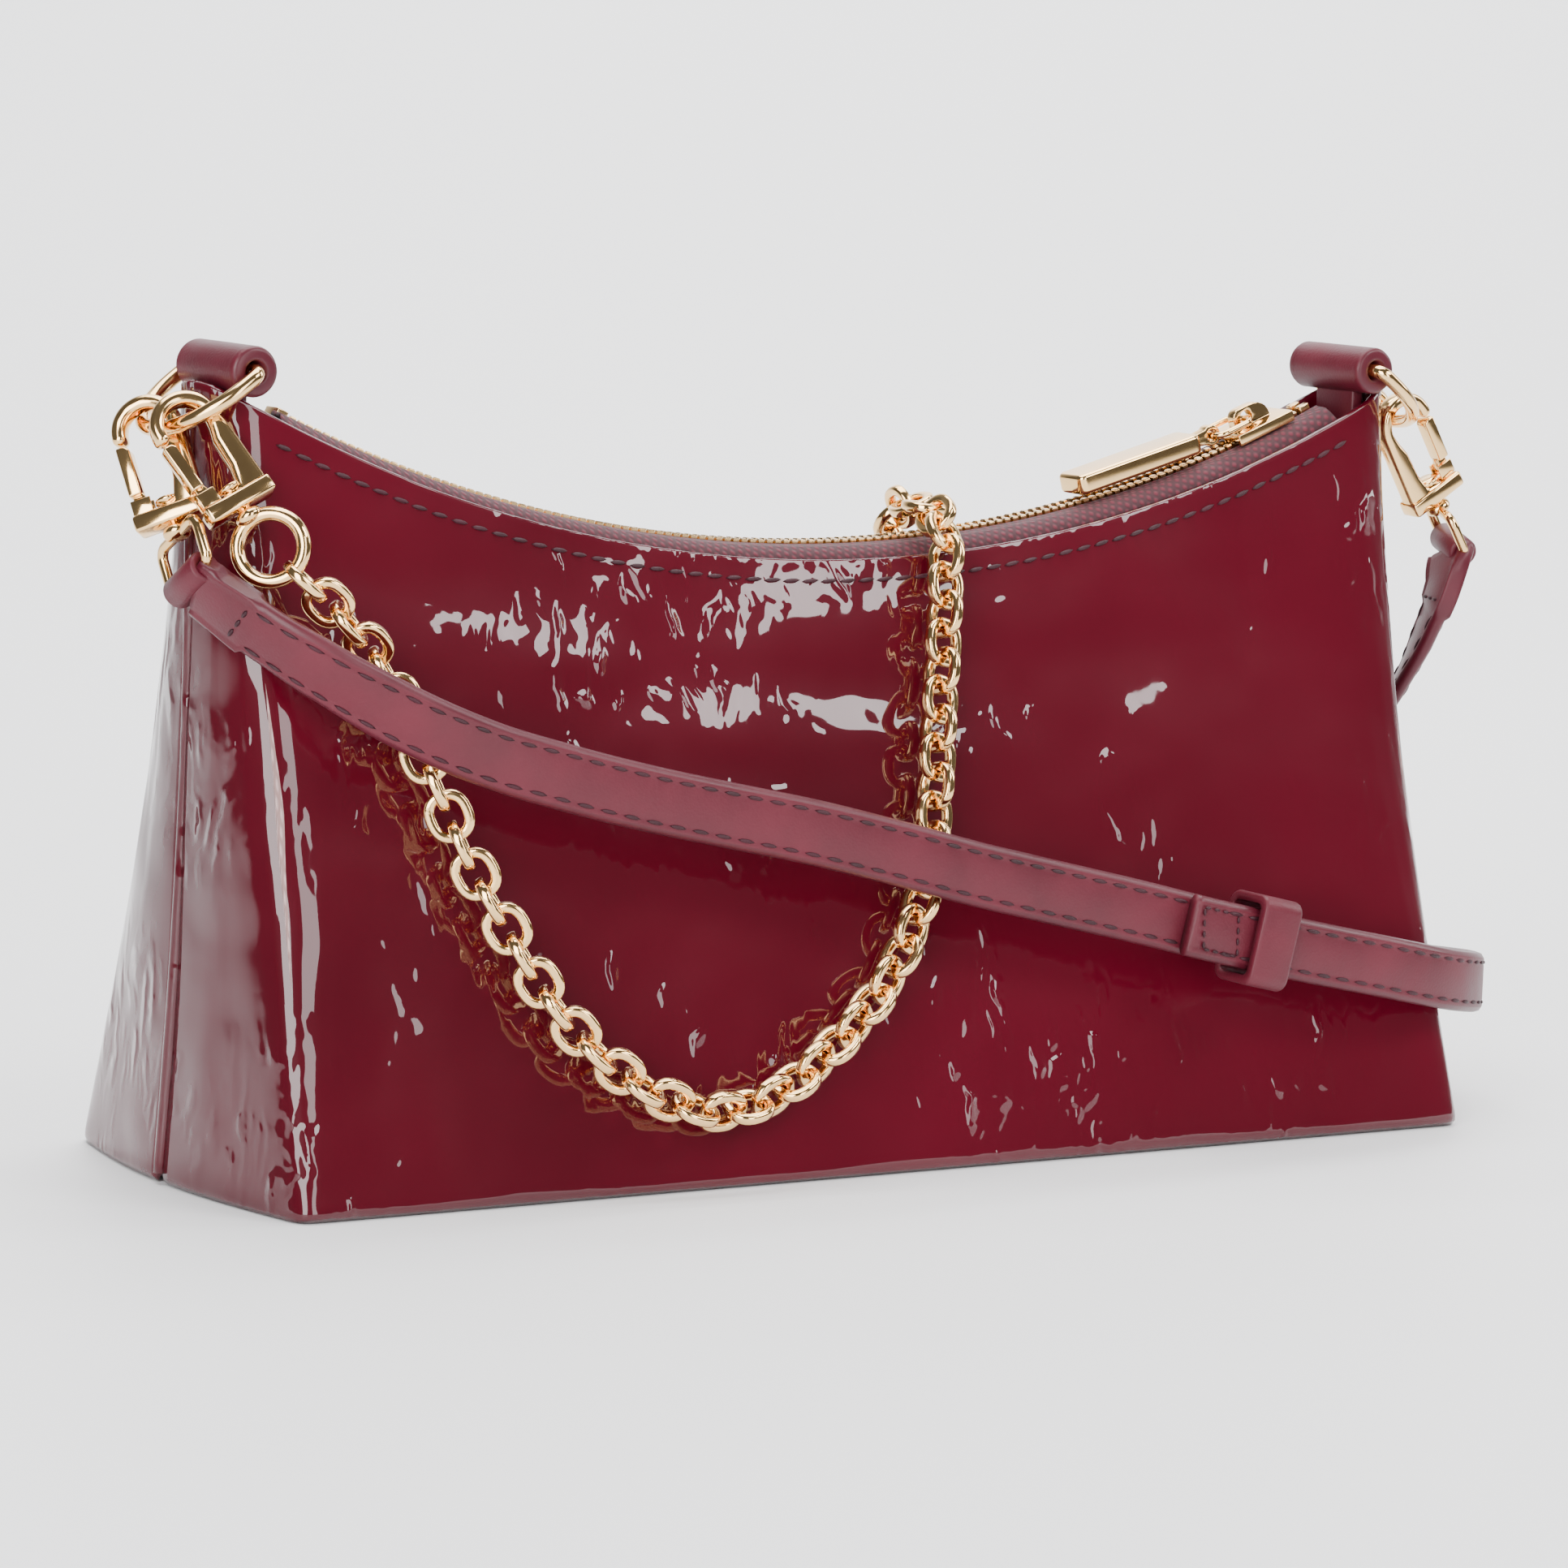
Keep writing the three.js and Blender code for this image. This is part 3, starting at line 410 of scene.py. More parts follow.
# In a clasp's own frame the hook's centre is the origin, the swivel post runs down Z,
# and the gate is on the -X side. The joints say where each clasp is.
CLASPS = ("left_chain", "left_strap", "right_strap", "right_chain")


def clasp_frame(name):
    swivel, gate = JOINTS[name + "_eye_swivel"], JOINTS[name + "_gate_open"]
    z = Vector(swivel["axis"]).normalized()
    y = Vector(gate["axis"])
    y = (y - z * y.dot(z)).normalized()
    x = y.cross(z)
    turn = Matrix((x, y, z)).transposed().to_4x4()
    return Matrix.Translation(Vector(swivel["pos_m"])) @ turn


FRAMES = {name: clasp_frame(name) for name in CLASPS}
ROUND_EYE_Z = -26.6 * MM
ROUND_EYE_RADIUS = 6.0 * MM
ROUND_EYE_WIRE = 1.35 * MM
STRAP_BAR_Z = -29.2 * MM
STRAP_EYE_TOP = -20.2 * MM
STRAP_EYE_HALF = 7.6 * MM
STRAP_EYE_WIRE = 1.0 * MM


def chain_eye_normal(side):
    facing = Vector((-0.6, -0.78, 0.1)) if side == "left" else Vector((0.6, 0.78, 0.1))
    up = Vector(JOINTS[side + "_chain_eye_swivel"]["axis"]).normalized()
    return (facing - up * facing.dot(up)).normalized()


def down_clasp(name, z):
    return FRAMES[name] @ Vector((0, 0, z))


# ---------------------------------------------------------------- chain

CHAIN_WIDTH = 8.8 * MM
LINK_LENGTH = 9.7 * MM
LINK_WIRE = 1.0 * MM
LINK_PITCH = 5.65 * MM
LINK_STEPS, LINK_SIDES = 28, 12
# Powers below 1 draw an oval, or a round section, out towards a rectangle.
LINK_OVAL, LINK_SECTION = 0.82, 0.62
LINK_TURNS = (-76, 14)
CHAIN_ACROSS = (0.15, 1.0, 0.25)
CORD_STEPS = 400

CHAIN_LEFT_ROUTE = [
    (-117.6, -27.2, 107), (-112.6, -27.4, 102.2), (-106, -27.2, 94.5), (-101.5, -29.6, 84),
    (-97, -32.6, 72.5), (-92.5, -35.6, 61), (-86.5, -38.8, 49.5), (-79.5, -41.8, 37.5), (-70, -44.6, 26.5),
    (-58, -46.6, 18.5), (-46.3, -47.6, 15), (-34, -47, 17), (-21, -45.2, 24.2), (-9, -42.8, 33.8),
    (-0.2, -39.8, 45), (5.6, -36.2, 57), (9.3, -32, 70.2), (12.4, -27.6, 83), (15.7, -23.2, 95),
    (18.6, -18.9, 106.5), (21.2, -14.2, 115.6), (23, -7, 119.8), (24.2, -0.6, 120.2),
]
CHAIN_RIGHT_ROUTE = [
    (117.6, 27.2, 107), (109, 27, 101.5), (99, 27, 96), (88, 27.8, 90), (75, 28.8, 85.5),
    (61, 28.6, 84.5), (48, 27, 88), (38, 23.8, 95.5), (31.5, 19.4, 106.5),
    (28, 14.2, 116), (25.8, 7, 119.8), (24.4, 0.4, 120.2),
]


def signed_power(value, power):
    return math.copysign(abs(value) ** power, value)


def link_mesh(centre, along, flat):
    """One chain link: an oval ring of squared wire with soft corners, its long axis along the chain."""
    vertices = []
    side = flat.cross(along).normalized()
    half_length, half_width = LINK_LENGTH / 2 - LINK_WIRE, CHAIN_WIDTH / 2 - LINK_WIRE
    for i in range(LINK_STEPS):
        a = 2 * math.pi * i / LINK_STEPS
        c, s = signed_power(math.cos(a), LINK_OVAL), signed_power(math.sin(a), LINK_OVAL)
        point = centre + along * (half_length * c) + side * (half_width * s)
        outward = (along * (c / half_length) + side * (s / half_width)).normalized()
        for j in range(LINK_SIDES):
            b = 2 * math.pi * (j + 0.5) / LINK_SIDES
            out, up = signed_power(math.cos(b), LINK_SECTION), signed_power(math.sin(b), LINK_SECTION)
            vertices.append(point + outward * (LINK_WIRE * out) + flat * (LINK_WIRE * up))
    return vertices, ring_faces(LINK_STEPS, LINK_SIDES, closed=True)


def add_chain(name, side, route, node):
    """Links from the clasp's eye to the middle of the zip, every other one turned by a right angle."""
    eye = down_clasp(side + "_chain", ROUND_EYE_Z)
    normal = chain_eye_normal(side)
    knots = [Vector(p) * MM for p in route]
    towards = knots[0] - eye
    towards = (towards - normal * towards.dot(normal)).normalized()
    start = eye + towards * ROUND_EYE_RADIUS
    line, length = dense([start] + knots, CORD_STEPS)
    count = max(2, round(length / LINK_PITCH))
    pitch = length / count
    links = []
    across = Vector(CHAIN_ACROSS).normalized()
    for i in range(count):
        at = min((i + 0.5) * pitch / length, 1.0) * CORD_STEPS
        k = min(int(at), CORD_STEPS - 1)
        centre = line[k].lerp(line[k + 1], at - k)
        along = (line[min(k + 3, CORD_STEPS)] - line[max(k - 3, 0)]).normalized()
        base = (across - along * across.dot(along)).normalized()
        flat = (Matrix.Rotation(math.radians(LINK_TURNS[i % 2]), 3, along) @ base).normalized()
        if i == 0:
            flat = normal.cross(along).normalized()
        links.append(link_mesh(centre, along, flat))
    chain = fix_normals(add_object(name, *gathered(links), GOLD))
    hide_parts(node)
    return chain


chain_left = add_chain("chain_left", "left", CHAIN_LEFT_ROUTE, "chain_front")
chain_right = add_chain("chain_right", "right", CHAIN_RIGHT_ROUTE, "chain_back")

# ---------------------------------------------------------------- straps

STRAP_WIDTH = 12 * MM
STRAP_THICKNESS = 3 * MM
STRAP_START = 1.9 * MM  # from the bar's centre to the first point of the strap
STRAP_STEP = 1.2 * MM
FOLD_RADIUS, FOLD_BORE, FOLD_EASE = 2.95 * MM, 1.35 * MM, 0.35 * MM
FOLD_SIDES = 28
# How much the doubled end is fatter in its middle and at its edges, and how wide that middle is.
DOUBLED_SWELL, DOUBLED_EDGE_SWELL, DOUBLED_HALF = 1.22, 1.02, 5.2 * MM
STITCH_FROM_MIDDLE, STITCH_PITCH, STITCH_SHARE, STITCH_RADIUS = 3.98 * MM, 3.9 * MM, 0.76, 0.42 * MM
UPRIGHT = (0, 0, 1)
LEFT_BAR = Vector((0, -0.86, 0.5))
RIGHT_BAR = Vector((0.3, 0.95, 0.2))

STRAP_LEFT_ROUTE = [
    ((-129.6, -25.2, 102), (0.1, -0.72, 0.69)), ((-121.5, -32, 96), (0.1, -0.55, 0.83)),
    ((-107, -37, 87.6), (0.1, -0.3, 0.95)), ((-91.6, -39.4, 81), (0.1, -0.2, 0.97)),
    ((-75.7, -40.8, 76.2), UPRIGHT), ((-59.2, -41.6, 72), UPRIGHT), ((-42.5, -42.5, 68.4), UPRIGHT),
    ((-25.5, -43.5, 64.8), UPRIGHT), ((-8.2, -44.5, 60.5), UPRIGHT), ((9.4, -45.3, 55.8), UPRIGHT),
    ((27.3, -46, 51.5), UPRIGHT), ((45.5, -46.4, 47.2), UPRIGHT), ((63.6, -46.7, 42.7), UPRIGHT),
    ((82.5, -46.7, 38.3), UPRIGHT), ((100, -45.9, 34.5), UPRIGHT), ((116, -43.6, 31), UPRIGHT),
]
STRAP_RIGHT_ROUTE = [
    ((151.2, -3.6, 103.2), (0.3, 0.95, 0)), ((149.4, -1, 94), (0.4, 0.9, 0)),
    ((147, 4, 82), (0.6, 0.75, 0.1)), ((144.5, 12, 70), (0.8, 0.5, 0.3)),
    ((141.5, 22, 56), (0.8, 0.3, 0.5)), ((135, 36, 41), (0.6, 0.2, 0.75)), ((121, 49, 28), (0.3, 0.1, 0.95)),
]
STRAP_RIGHT_ROUTE += [(point, UPRIGHT) for point in (
    (99, 54.5, 18), (71, 56, 11.5), (42, 56.5, 8.5), (18, 57, 7.4), (5, 60, 7.2), (-3, 69, 7.2),
    (1.5, 79.5, 7.2), (13, 84.5, 7.2), (30, 85.5, 7.4), (55, 84.5, 7.8), (80, 81.5, 8.8),
    (105, 75, 10.8), (127, 63, 13.6), (144, 45, 17), (151.5, 23, 20), (152.5, 2, 22.2),
    (149, -18, 24.2), (139.5, -34, 26.4), (124, -44.6, 29.4), (103.2, -49.2, 33.9),
    (82.5, -50.2, 38.3), (63.6, -50.1, 42.7), (56.4, -49.8, 44.4),
)]


def strap_section():
    """Flat strap: two faces with a shallow crease line near each edge, and rounded painted edges."""
    half, r = STRAP_WIDTH / 2, STRAP_THICKNESS / 2
    border = [(0.7, 0.90), (1.0, 1.0), (1.35, 0.84), (1.8, 0.98)]
    face = [(inset * r - half, r * rise) for inset, rise in border]
    face += [(half - inset * r, r * rise) for inset, rise in border[::-1]]
    edge = [(half - 0.22 * r, r * 0.60), (half, 0), (half - 0.22 * r, -r * 0.60)]
    section = face + edge
    return section + [(-a, -b) for a, b in section]


CROSS_STITCH = 9  # the point along the line where the folded end is stitched across
EDGE_COLUMNS = {7, 8, 9, 10, 11, 18, 19, 20, 21, 0}  # the painted edges' points in strap_section


def capsule(start, end, radius, rings=3, sides=6):
    """A short stitch of thread, fat in the middle."""
    axis = (end - start)
    along = axis.normalized()
    side = along.orthogonal().normalized()
    up = along.cross(side)
    vertices, faces = [start], []
    for i in range(1, rings + 1):
        share = i / (rings + 1)
        swell = radius * math.sin(math.pi * share) ** 0.5
        for j in range(sides):
            b = 2 * math.pi * j / sides
            vertices.append(start + axis * share + side * (swell * math.cos(b)) + up * (swell * math.sin(b)))
    vertices.append(end)
    for j in range(sides):
        k = (j + 1) % sides
        faces.append((0, 1 + k, 1 + j))
        for i in range(rings - 1):
            a, b = 1 + i * sides, 1 + (i + 1) * sides
            faces.append((a + j, a + k, b + k, b + j))
        last = 1 + (rings - 1) * sides
        faces.append((last + j, last + k, len(vertices) - 1))
    return vertices, faces


def add_stitches(name, runs, radius):
    """Thread stitches, each from a start to an end point."""
    meshes = [capsule(start, end, radius) for start, end in runs]
    return fix_normals(add_object(name, *gathered(meshes), THREAD))


def stitches_on(line, across, offset_across, offset_up, first, last):
    """Stitch start and end points beside a line."""
    runs, travelled, needed = [], 0.0, 0.0
    start = None
    for i in range(first + 1, last):
        tangent = (line[i + 1] - line[i - 1]).normalized()
        side = (across[i] - tangent * across[i].dot(tangent)).normalized()
        up = tangent.cross(side)
        here = line[i] + side * offset_across + up * offset_up
        travelled += (line[i] - line[i - 1]).length
        if start is None and travelled >= needed:
            start, began = here, travelled
        elif start is not None and travelled - began >= STITCH_PITCH * STITCH_SHARE:
            runs.append((start, here))
            needed = began + STITCH_PITCH
            start = None
    return runs


def strap_runs(line, across):
    """The stitches of a strap: two rows on each face, and three across its folded end."""
    runs = []
    rise = STRAP_THICKNESS / 2
    for side in (1, -1):
        for edge in (1, -1):
            out, up = edge * STITCH_FROM_MIDDLE, side * rise * 0.9
            runs += stitches_on(line, across, out, up, 10, len(line) - 4)
    here, way = line[CROSS_STITCH], across[CROSS_STITCH]
    tangent = (line[CROSS_STITCH + 1] - here).normalized()
    up = tangent.cross(way).normalized()
    for step in range(3):
        low = here + way * (-4.0 + 2.8 * step) * MM
        for side in (1, -1):
            start = low + up * side * rise * 1.2
            runs.append((start, start + way * 2.3 * MM))
    return runs


def add_fold(name, centre, bar, away):
    """A roll of leather round the clasp's bar, with a slot of air inside."""
    bar = bar.normalized()
    shares = (-1, -0.93, 0, 0.93, 1)
    line = [centre + bar * (share * STRAP_WIDTH / 2) for share in shares]
    radii = [FOLD_RADIUS - FOLD_EASE if abs(share) == 1 else FOLD_RADIUS for share in shares]
    side_way = (away - bar * away.dot(bar)).normalized()
    up_way = bar.cross(side_way)
    rows = list(zip(line, radii)) + [(p, FOLD_BORE) for p in line[::-1]]
    vertices = []
    for point, radius in rows:
        vertices += [point + side_way * a + up_way * b for a, b in circle(radius, FOLD_SIDES)]
    return fix_normals(add_object(name, vertices, ring_faces(len(rows), FOLD_SIDES, closed=True), STRAP))


def add_strap(name, route, clasp, bar, node):
    """One strap with its folded end round the clasp's bar, its painted edges and its stitches."""
    centre = down_clasp(clasp, STRAP_BAR_Z)
    away = (Vector(route[0][0]) * MM - centre).normalized()
    start = centre + away * STRAP_START
    knots = [start] + [Vector(p) * MM for p, _ in route]
    directions = [tuple(bar)] + [d for _, d in route]
    _, length = dense(knots, CORD_STEPS)
    line, length = dense(knots, int(length / STRAP_STEP))
    across = hints_along(line, knots, directions)
    vertices, faces = sweep(line, strap_section(), across)
    columns = len(strap_section())
    # The folded end lies double as far as the cross stitches.
    for i in range(CROSS_STITCH + 2):
        for v in range(i * columns, (i + 1) * columns):
            out = vertices[v] - line[i]
            swell = DOUBLED_SWELL if abs(out.dot(across[i])) < DOUBLED_HALF else DOUBLED_EDGE_SWELL
            vertices[v] = line[i] + out * swell
    strap = add_object(name, vertices, faces, STRAP)
    strap.data.materials.append(STRAP_EDGE)
    for polygon in strap.data.polygons:
        if len(polygon.vertices) == 4 and {v % columns for v in polygon.vertices} <= EDGE_COLUMNS:
            polygon.material_index = 1
    stitches = add_stitches(name + "_thread", strap_runs(line, across), STITCH_RADIUS)
    fold = add_fold(name + "_fold", centre, bar, away)
    piece = joined(name, [fix_normals(strap), stitches, fold])
    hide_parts(node)
    return piece


strap_left = add_strap("strap_left_leather", STRAP_LEFT_ROUTE, "left_strap", LEFT_BAR, "strap_left")
strap_right = add_strap("strap_right_leather", STRAP_RIGHT_ROUTE, "right_strap", RIGHT_BAR, "strap_right")

# ---------------------------------------------------------------- bag shell

BASE_HALF_LENGTH, BASE_HALF_DEPTH = 129.0, 45.0
SEAM_BULGE = 6.0
TOP_HALF_LENGTH, TOP_CORNER_X = 132.0, 125.0
LIP_HALF_DEPTH, LIP_RADIUS, LIP_CENTRE_Z = 11.0, 280.0, 391.0
BELLY = 3.0
CORNER_S = 0.8
SEAM_END = 0.993
LEATHER = 1.8
EDGE_ROUND = 2.6


def lip_z(x):
    return LIP_CENTRE_Z - math.sqrt(LIP_RADIUS ** 2 - x ** 2)


# Soft dents and swells of the front: x, height, how wide, how tall, how deep (inwards), lean.
DENTS = [
    (-92, 108, 22, 8, 1.3, -0.5), (-108, 78, 9, 30, 1.2, 0.1), (-60, 94, 26, 6, -0.8, -0.35),
    (-20, 89, 34, 6, 1.0, -0.15), (48, 92, 26, 7, 1.0, 0.35), (92, 108, 8, 22, 1.3, -0.15),
    (112, 92, 7, 24, 1.1, 0.2), (84, 66, 30, 12, -0.7, -0.6), (20, 40, 50, 12, 0.6, -0.1),
    (-70, 44, 20, 18, 0.7, 0.4), (104, 34, 12, 16, 0.8, 0.0), (-112, 34, 9, 14, 1.0, 0.2),
    (-118, 64, 15, 34, 1.4, 0.05), (-110, 22, 12, 12, 1.0, 0.3), (-114, 58, 8, 9, -0.9, 0.3),
    (-30, 74, 18, 5, 0.7, -0.5), (8, 78, 14, 4, -0.6, -0.6),
]


def dent_at(x, z):
    total = 0.0
    for cx, cz, wide, tall, deep, lean in DENTS:
        u = (x - cx) + lean * (z - cz)
        v = (z - cz) - lean * (x - cx) * 0.3
        total += deep * math.exp(-(u / wide) ** 2 - (v / tall) ** 2)
    ripple = 0.10 * math.sin(0.21 * x + 0.11 * z) * math.sin(0.13 * z - 0.05 * x + 1.0)
    return total + ripple


def sharp_shell_point(s, v, dents):
    """The shell's outer surface in millimetres, with sharp upright edges."""
    side = 1.0 if s >= 0 else -1.0
    t = min(abs(s) / CORNER_S, 1)
    w = max((abs(s) - CORNER_S) / (1 - CORNER_S), 0)
    round_w = w * w * (3 - 2 * w) * 0.35 + w * 0.65
    low_x = BASE_HALF_LENGTH * t + SEAM_BULGE * math.sin(w * math.pi / 2)
    top_x = TOP_CORNER_X * t + (TOP_HALF_LENGTH - TOP_CORNER_X) * math.sin(w * math.pi / 2)
    low_y = BASE_HALF_DEPTH * (1 - w)
    top_y = LIP_HALF_DEPTH * (math.cos(w * math.pi / 2) if w > 0 else 1)
    x = low_x + (top_x - low_x) * v
    belly = BELLY * math.sin(math.pi * v) * math.cos(math.pi * min(abs(s), 1) / 2)
    flare = (1 - v) ** (1 + 0.15 * t)
    y = top_y + (low_y - top_y) * flare + belly
    waist = 2 * math.sin(math.pi * v) * w
    z = v * lip_z(min(x, TOP_HALF_LENGTH))
    x_out = side * (x - waist)
    y_out = y
    if z < EDGE_ROUND:
        turn = EDGE_ROUND - math.sqrt(max(EDGE_ROUND ** 2 - (EDGE_ROUND - z) ** 2, 0))
        y_out -= turn * 0.55 * (1 - w)
        x_out -= side * turn * 0.35 * w
    if dents:
        inside = dent_at(side * x, z) * min(1, 4 * v) * min(1, max(0, (1 - v) * 6))
        y_out -= inside * (1 - w) * 0.9
        x_out -= side * 0.5 * w * math.sin(7 * v + 1.0) * math.sin(math.pi * v)
    return Vector((x_out, -y_out, z))


def shell_point(s, v, dents=True):
    """The same with soft upright edges. s runs from seam to seam and v from the ground to the lip."""
    reach = (0.022 + 0.075 * min(1, 2.0 * v)) * min(1, (1 - abs(s)) / 0.12)
    if abs(abs(s) - CORNER_S) > 2 * reach:
        return sharp_shell_point(s, v, dents)
    total = Vector((0, 0, 0))
    for share, weight in ((-1, 1), (-0.6, 2), (-0.25, 3), (0, 3), (0.25, 3), (0.6, 2), (1, 1)):
        total += sharp_shell_point(s + share * reach, v, dents) * (weight / 15)
    return total


def shell_steps():
    half = list(np.linspace(0, CORNER_S - 0.07, 60))
    half += list(np.linspace(CORNER_S - 0.06, CORNER_S + 0.06, 22))
    half += list(np.linspace(CORNER_S + 0.07, SEAM_END, 16))
    return [-s for s in half[:0:-1]] + half


def shell_heights():
    spans = ((0, 0.035, 7), (0.05, 0.93, 74), (0.94, 1.0, 9))
    return [v for low, high, count in spans for v in np.linspace(low, high, count)]


def add_panel(name, node, turned):
    """A panel of patent leather with its turned lip edge at the top, as one closed sheet."""
    steps, heights = shell_steps(), shell_heights()
    columns = []
    for s in steps:
        outer = [shell_point(s, v) for v in heights]
        inner = []
        for i, v in enumerate(heights):
            along = shell_point(min(s + 1e-3, 1), v, False) - shell_point(max(s - 1e-3, -1), v, False)
            rise = shell_point(s, min(v + 1e-3, 1), False) - shell_point(s, max(v - 1e-3, 0), False)
            inwards = rise.cross(along).normalized()
            if inwards.y < 0 and abs(inwards.y) > abs(inwards.x):
                inwards = -inwards
            inner.append(shell_point(s, v) + inwards * LEATHER)
            inner[-1].z = max(inner[-1].z, 0)
        top_out, top_in = outer[-1], inner[-1]
        roll = []
        middle = (top_out + top_in) / 2
        reach = (top_out - top_in) / 2
        for step in range(1, 6):
            a = math.pi * step / 6
            roll.append(middle + reach * math.cos(a) + Vector((0, 0, 0.55 * math.sin(a))))
        columns.append(outer + roll + inner[::-1])
    size = len(columns[0])
    vertices = [p * MM for column in columns for p in column]
    faces = ring_faces(len(columns), size)
    last = (len(columns) - 1) * size
    for end in (0, last):
        for j in range(size // 2):
            a, b, c, d = j, j + 1, size - 2 - j, size - 1 - j
            if b < c:
                faces.append((end + a, end + b, end + c, end + d))
            elif b == c:
                faces.append((end + a, end + b, end + d))
    panel = add_object(name, vertices, faces, PATENT)
    fix_normals(panel)
    if turned:
        panel.data.transform(Matrix.Rotation(math.pi, 4, "Z"))
    return placed(panel, node, "bag")


add_panel("front_shell", "front_panel", False)
add_panel("back_shell", "back_panel", True)


LIP_ROW_V = 0.968
LIP_STITCH, LIP_PITCH = 3.5 * MM, 4.1 * MM
LIP_STITCH_DROP = Vector((0, 0, 0.16)) * MM


def add_lip_stitching():
    """A row of tonal stitches about four millimetres below each lip."""
    runs = []
    for turned in (False, True):
        line = []
        for s in np.linspace(-CORNER_S + 0.02, CORNER_S - 0.02, 700):
            point = shell_point(s, LIP_ROW_V)
            point.y -= 0.12
            line.append((Matrix.Rotation(math.pi, 3, "Z") @ point if turned else point) * MM)
        travelled, started, start = 0.0, 0.0, line[0]
        for i in range(1, len(line)):
            travelled += (line[i] - line[i - 1]).length
            if start is not None and travelled - started > LIP_STITCH:
                runs.append((start - LIP_STITCH_DROP, line[i] + LIP_STITCH_DROP))
                start = None
            elif start is None and travelled - started > LIP_PITCH:
                start, started = line[i], travelled
    return placed(add_stitches("lip_stitching", runs, 0.45 * MM), None, "bag")


def add_seam_welts():
    """The welted side seams, where the front and back meet: a piped edge that closes the gap."""
    pieces = []
    for side in (-1, 1):
        line = [shell_point(side, v, False) for v in np.linspace(0.012, 0.985, 60)]
        line = [Vector((p.x - side * 0.35, 0, p.z)) * MM for p in line]
        section = circle(1.35 * MM, 12)
        vertices, faces = sweep(line, section, [Vector((0, 1, 0))] * len(line))
        pieces.append(fix_normals(add_object("welt", vertices, faces, PATENT)))
    return placed(joined("side_seam_welts", pieces), None, "bag")


add_lip_stitching()
add_seam_welts()

# ---------------------------------------------------------------- zip

ZIP_END_X = 118.0
TAPE_LOW, TAPE_HIGH = 1.6, 2.4
TEETH_LOW, TEETH_HIGH = 0.7, 3.3
TEETH_PITCH = 1.9
TAPE_STEPS = 160


def zip_point(angle, y, height):
    r = LIP_RADIUS - height
    return Vector((r * math.sin(angle), y, LIP_CENTRE_Z - r * math.cos(angle))) * MM


def add_tape(name, node, side):
    """Woven tape from the teeth down behind the lip, with its beaded inner edge."""
    half_angle = math.asin(ZIP_END_X / LIP_RADIUS)
    section = [
        (2.6, TAPE_LOW), (2.6, TAPE_HIGH), (3.1, TAPE_HIGH + 0.22), (3.7, TAPE_HIGH), (4.9, TAPE_HIGH),
        (6.0, TAPE_HIGH - 0.1), (7.3, 1.4), (8.5, 0.2), (8.5, -0.6), (7.2, 0.6),
        (6.0, TAPE_LOW), (4.2, TAPE_LOW),
    ]
    vertices = []
    for i in range(TAPE_STEPS + 1):
        angle = -half_angle + 2 * half_angle * i / TAPE_STEPS
        vertices += [zip_point(angle, side * y, h) for y, h in section]
    rows, size = TAPE_STEPS + 1, len(section)
    faces = ring_faces(rows, size) + ring_caps(rows, size)
    return placed(fix_normals(add_object(name, vertices, faces, TAPE)), node, "bag")


def tooth(middle, side):
    """One tooth, with a head that reaches to the other row."""
    outline = [(2.3, 0.62), (1.3, 0.62), (0.72, 0.40), (0.72, -0.40), (1.3, -0.62), (2.3, -0.62)]
    levels = [(TEETH_LOW, 0.8), (TEETH_LOW + 0.3, 1), (TEETH_HIGH - 0.3, 1), (TEETH_HIGH, 0.74)]
    vertices = []
    for height, shrink in levels:
        for y, along in outline:
            y_here = 1.5 + (y - 1.5) * shrink
            vertices.append(zip_point(middle + along * shrink / LIP_RADIUS, side * y_here, height))
    faces = ring_faces(len(levels), len(outline)) + ring_caps(len(levels), len(outline))
    return vertices, faces


def add_teeth(name, node, side, offset):
    """One row of metal teeth clamped on the tape's bead."""
    half_angle = math.asin((ZIP_END_X - 3.5) / LIP_RADIUS)
    step = TEETH_PITCH / LIP_RADIUS
    middles = [-half_angle + (n + 0.5 + offset) * step for n in range(int(2 * half_angle / step))]
    row = [tooth(middle, side) for middle in middles if abs(middle) <= half_angle - 0.3 * step]
    teeth = fix_normals(add_object(name, *gathered(row), TEETH, smooth=False))
    return placed(teeth, node, "bag")


for row, side, offset in (("front", -1, 0.0), ("back", 1, 0.5)):
    add_tape(f"tape_{row}", f"zip_tape_{row}", side)
    add_teeth(f"teeth_{row}", f"zip_teeth_{row}", side, offset)


def refined(node, body, material, width):
    """The CAD part's own shape with its edges eased."""
    source = frame["nodes"][node]
    piece = bpy.data.objects.new(node + "_finished", source.data.copy())
    bpy.context.scene.collection.objects.link(piece)
    piece.data.materials.clear()
    piece.data.materials.append(material)
    bm = bmesh.new()
    bm.from_mesh(piece.data)
    bmesh.ops.remove_doubles(bm, verts=bm.verts, dist=1e-6)
    bmesh.ops.dissolve_limit(bm, angle_limit=math.radians(1.0), verts=bm.verts, edges=bm.edges)
    bm.to_mesh(piece.data)
    bm.free()
    bevel(piece, width)
    piece.data.set_sharp_from_angle(angle=math.radians(50))
    for polygon in piece.data.polygons:
        polygon.use_smooth = True
    return placed(piece, node, body)


refined("zip_slider", "zip_slider", GOLD, 0.25 * MM)
for stop in ("zip_top_stop_front", "zip_top_stop_back", "zip_bottom_stop"):
    refined(stop, "bag", TEETH, 0.25 * MM)

# ---------------------------------------------------------------- pull

PULL_PIVOT = Vector(JOINTS["pull_ring_lift"]["pos_m"])
BAR_PIVOT = Vector(JOINTS["pull_bar_lift"]["pos_m"])
PULL_WAY = (BAR_PIVOT - PULL_PIVOT).normalized()
PULL_UP = Vector((0, 1, 0)).cross(PULL_WAY).normalized() * -1
if PULL_UP.z < 0:
    PULL_UP = -PULL_UP
PULL_BAR_LEAN = math.radians(6)


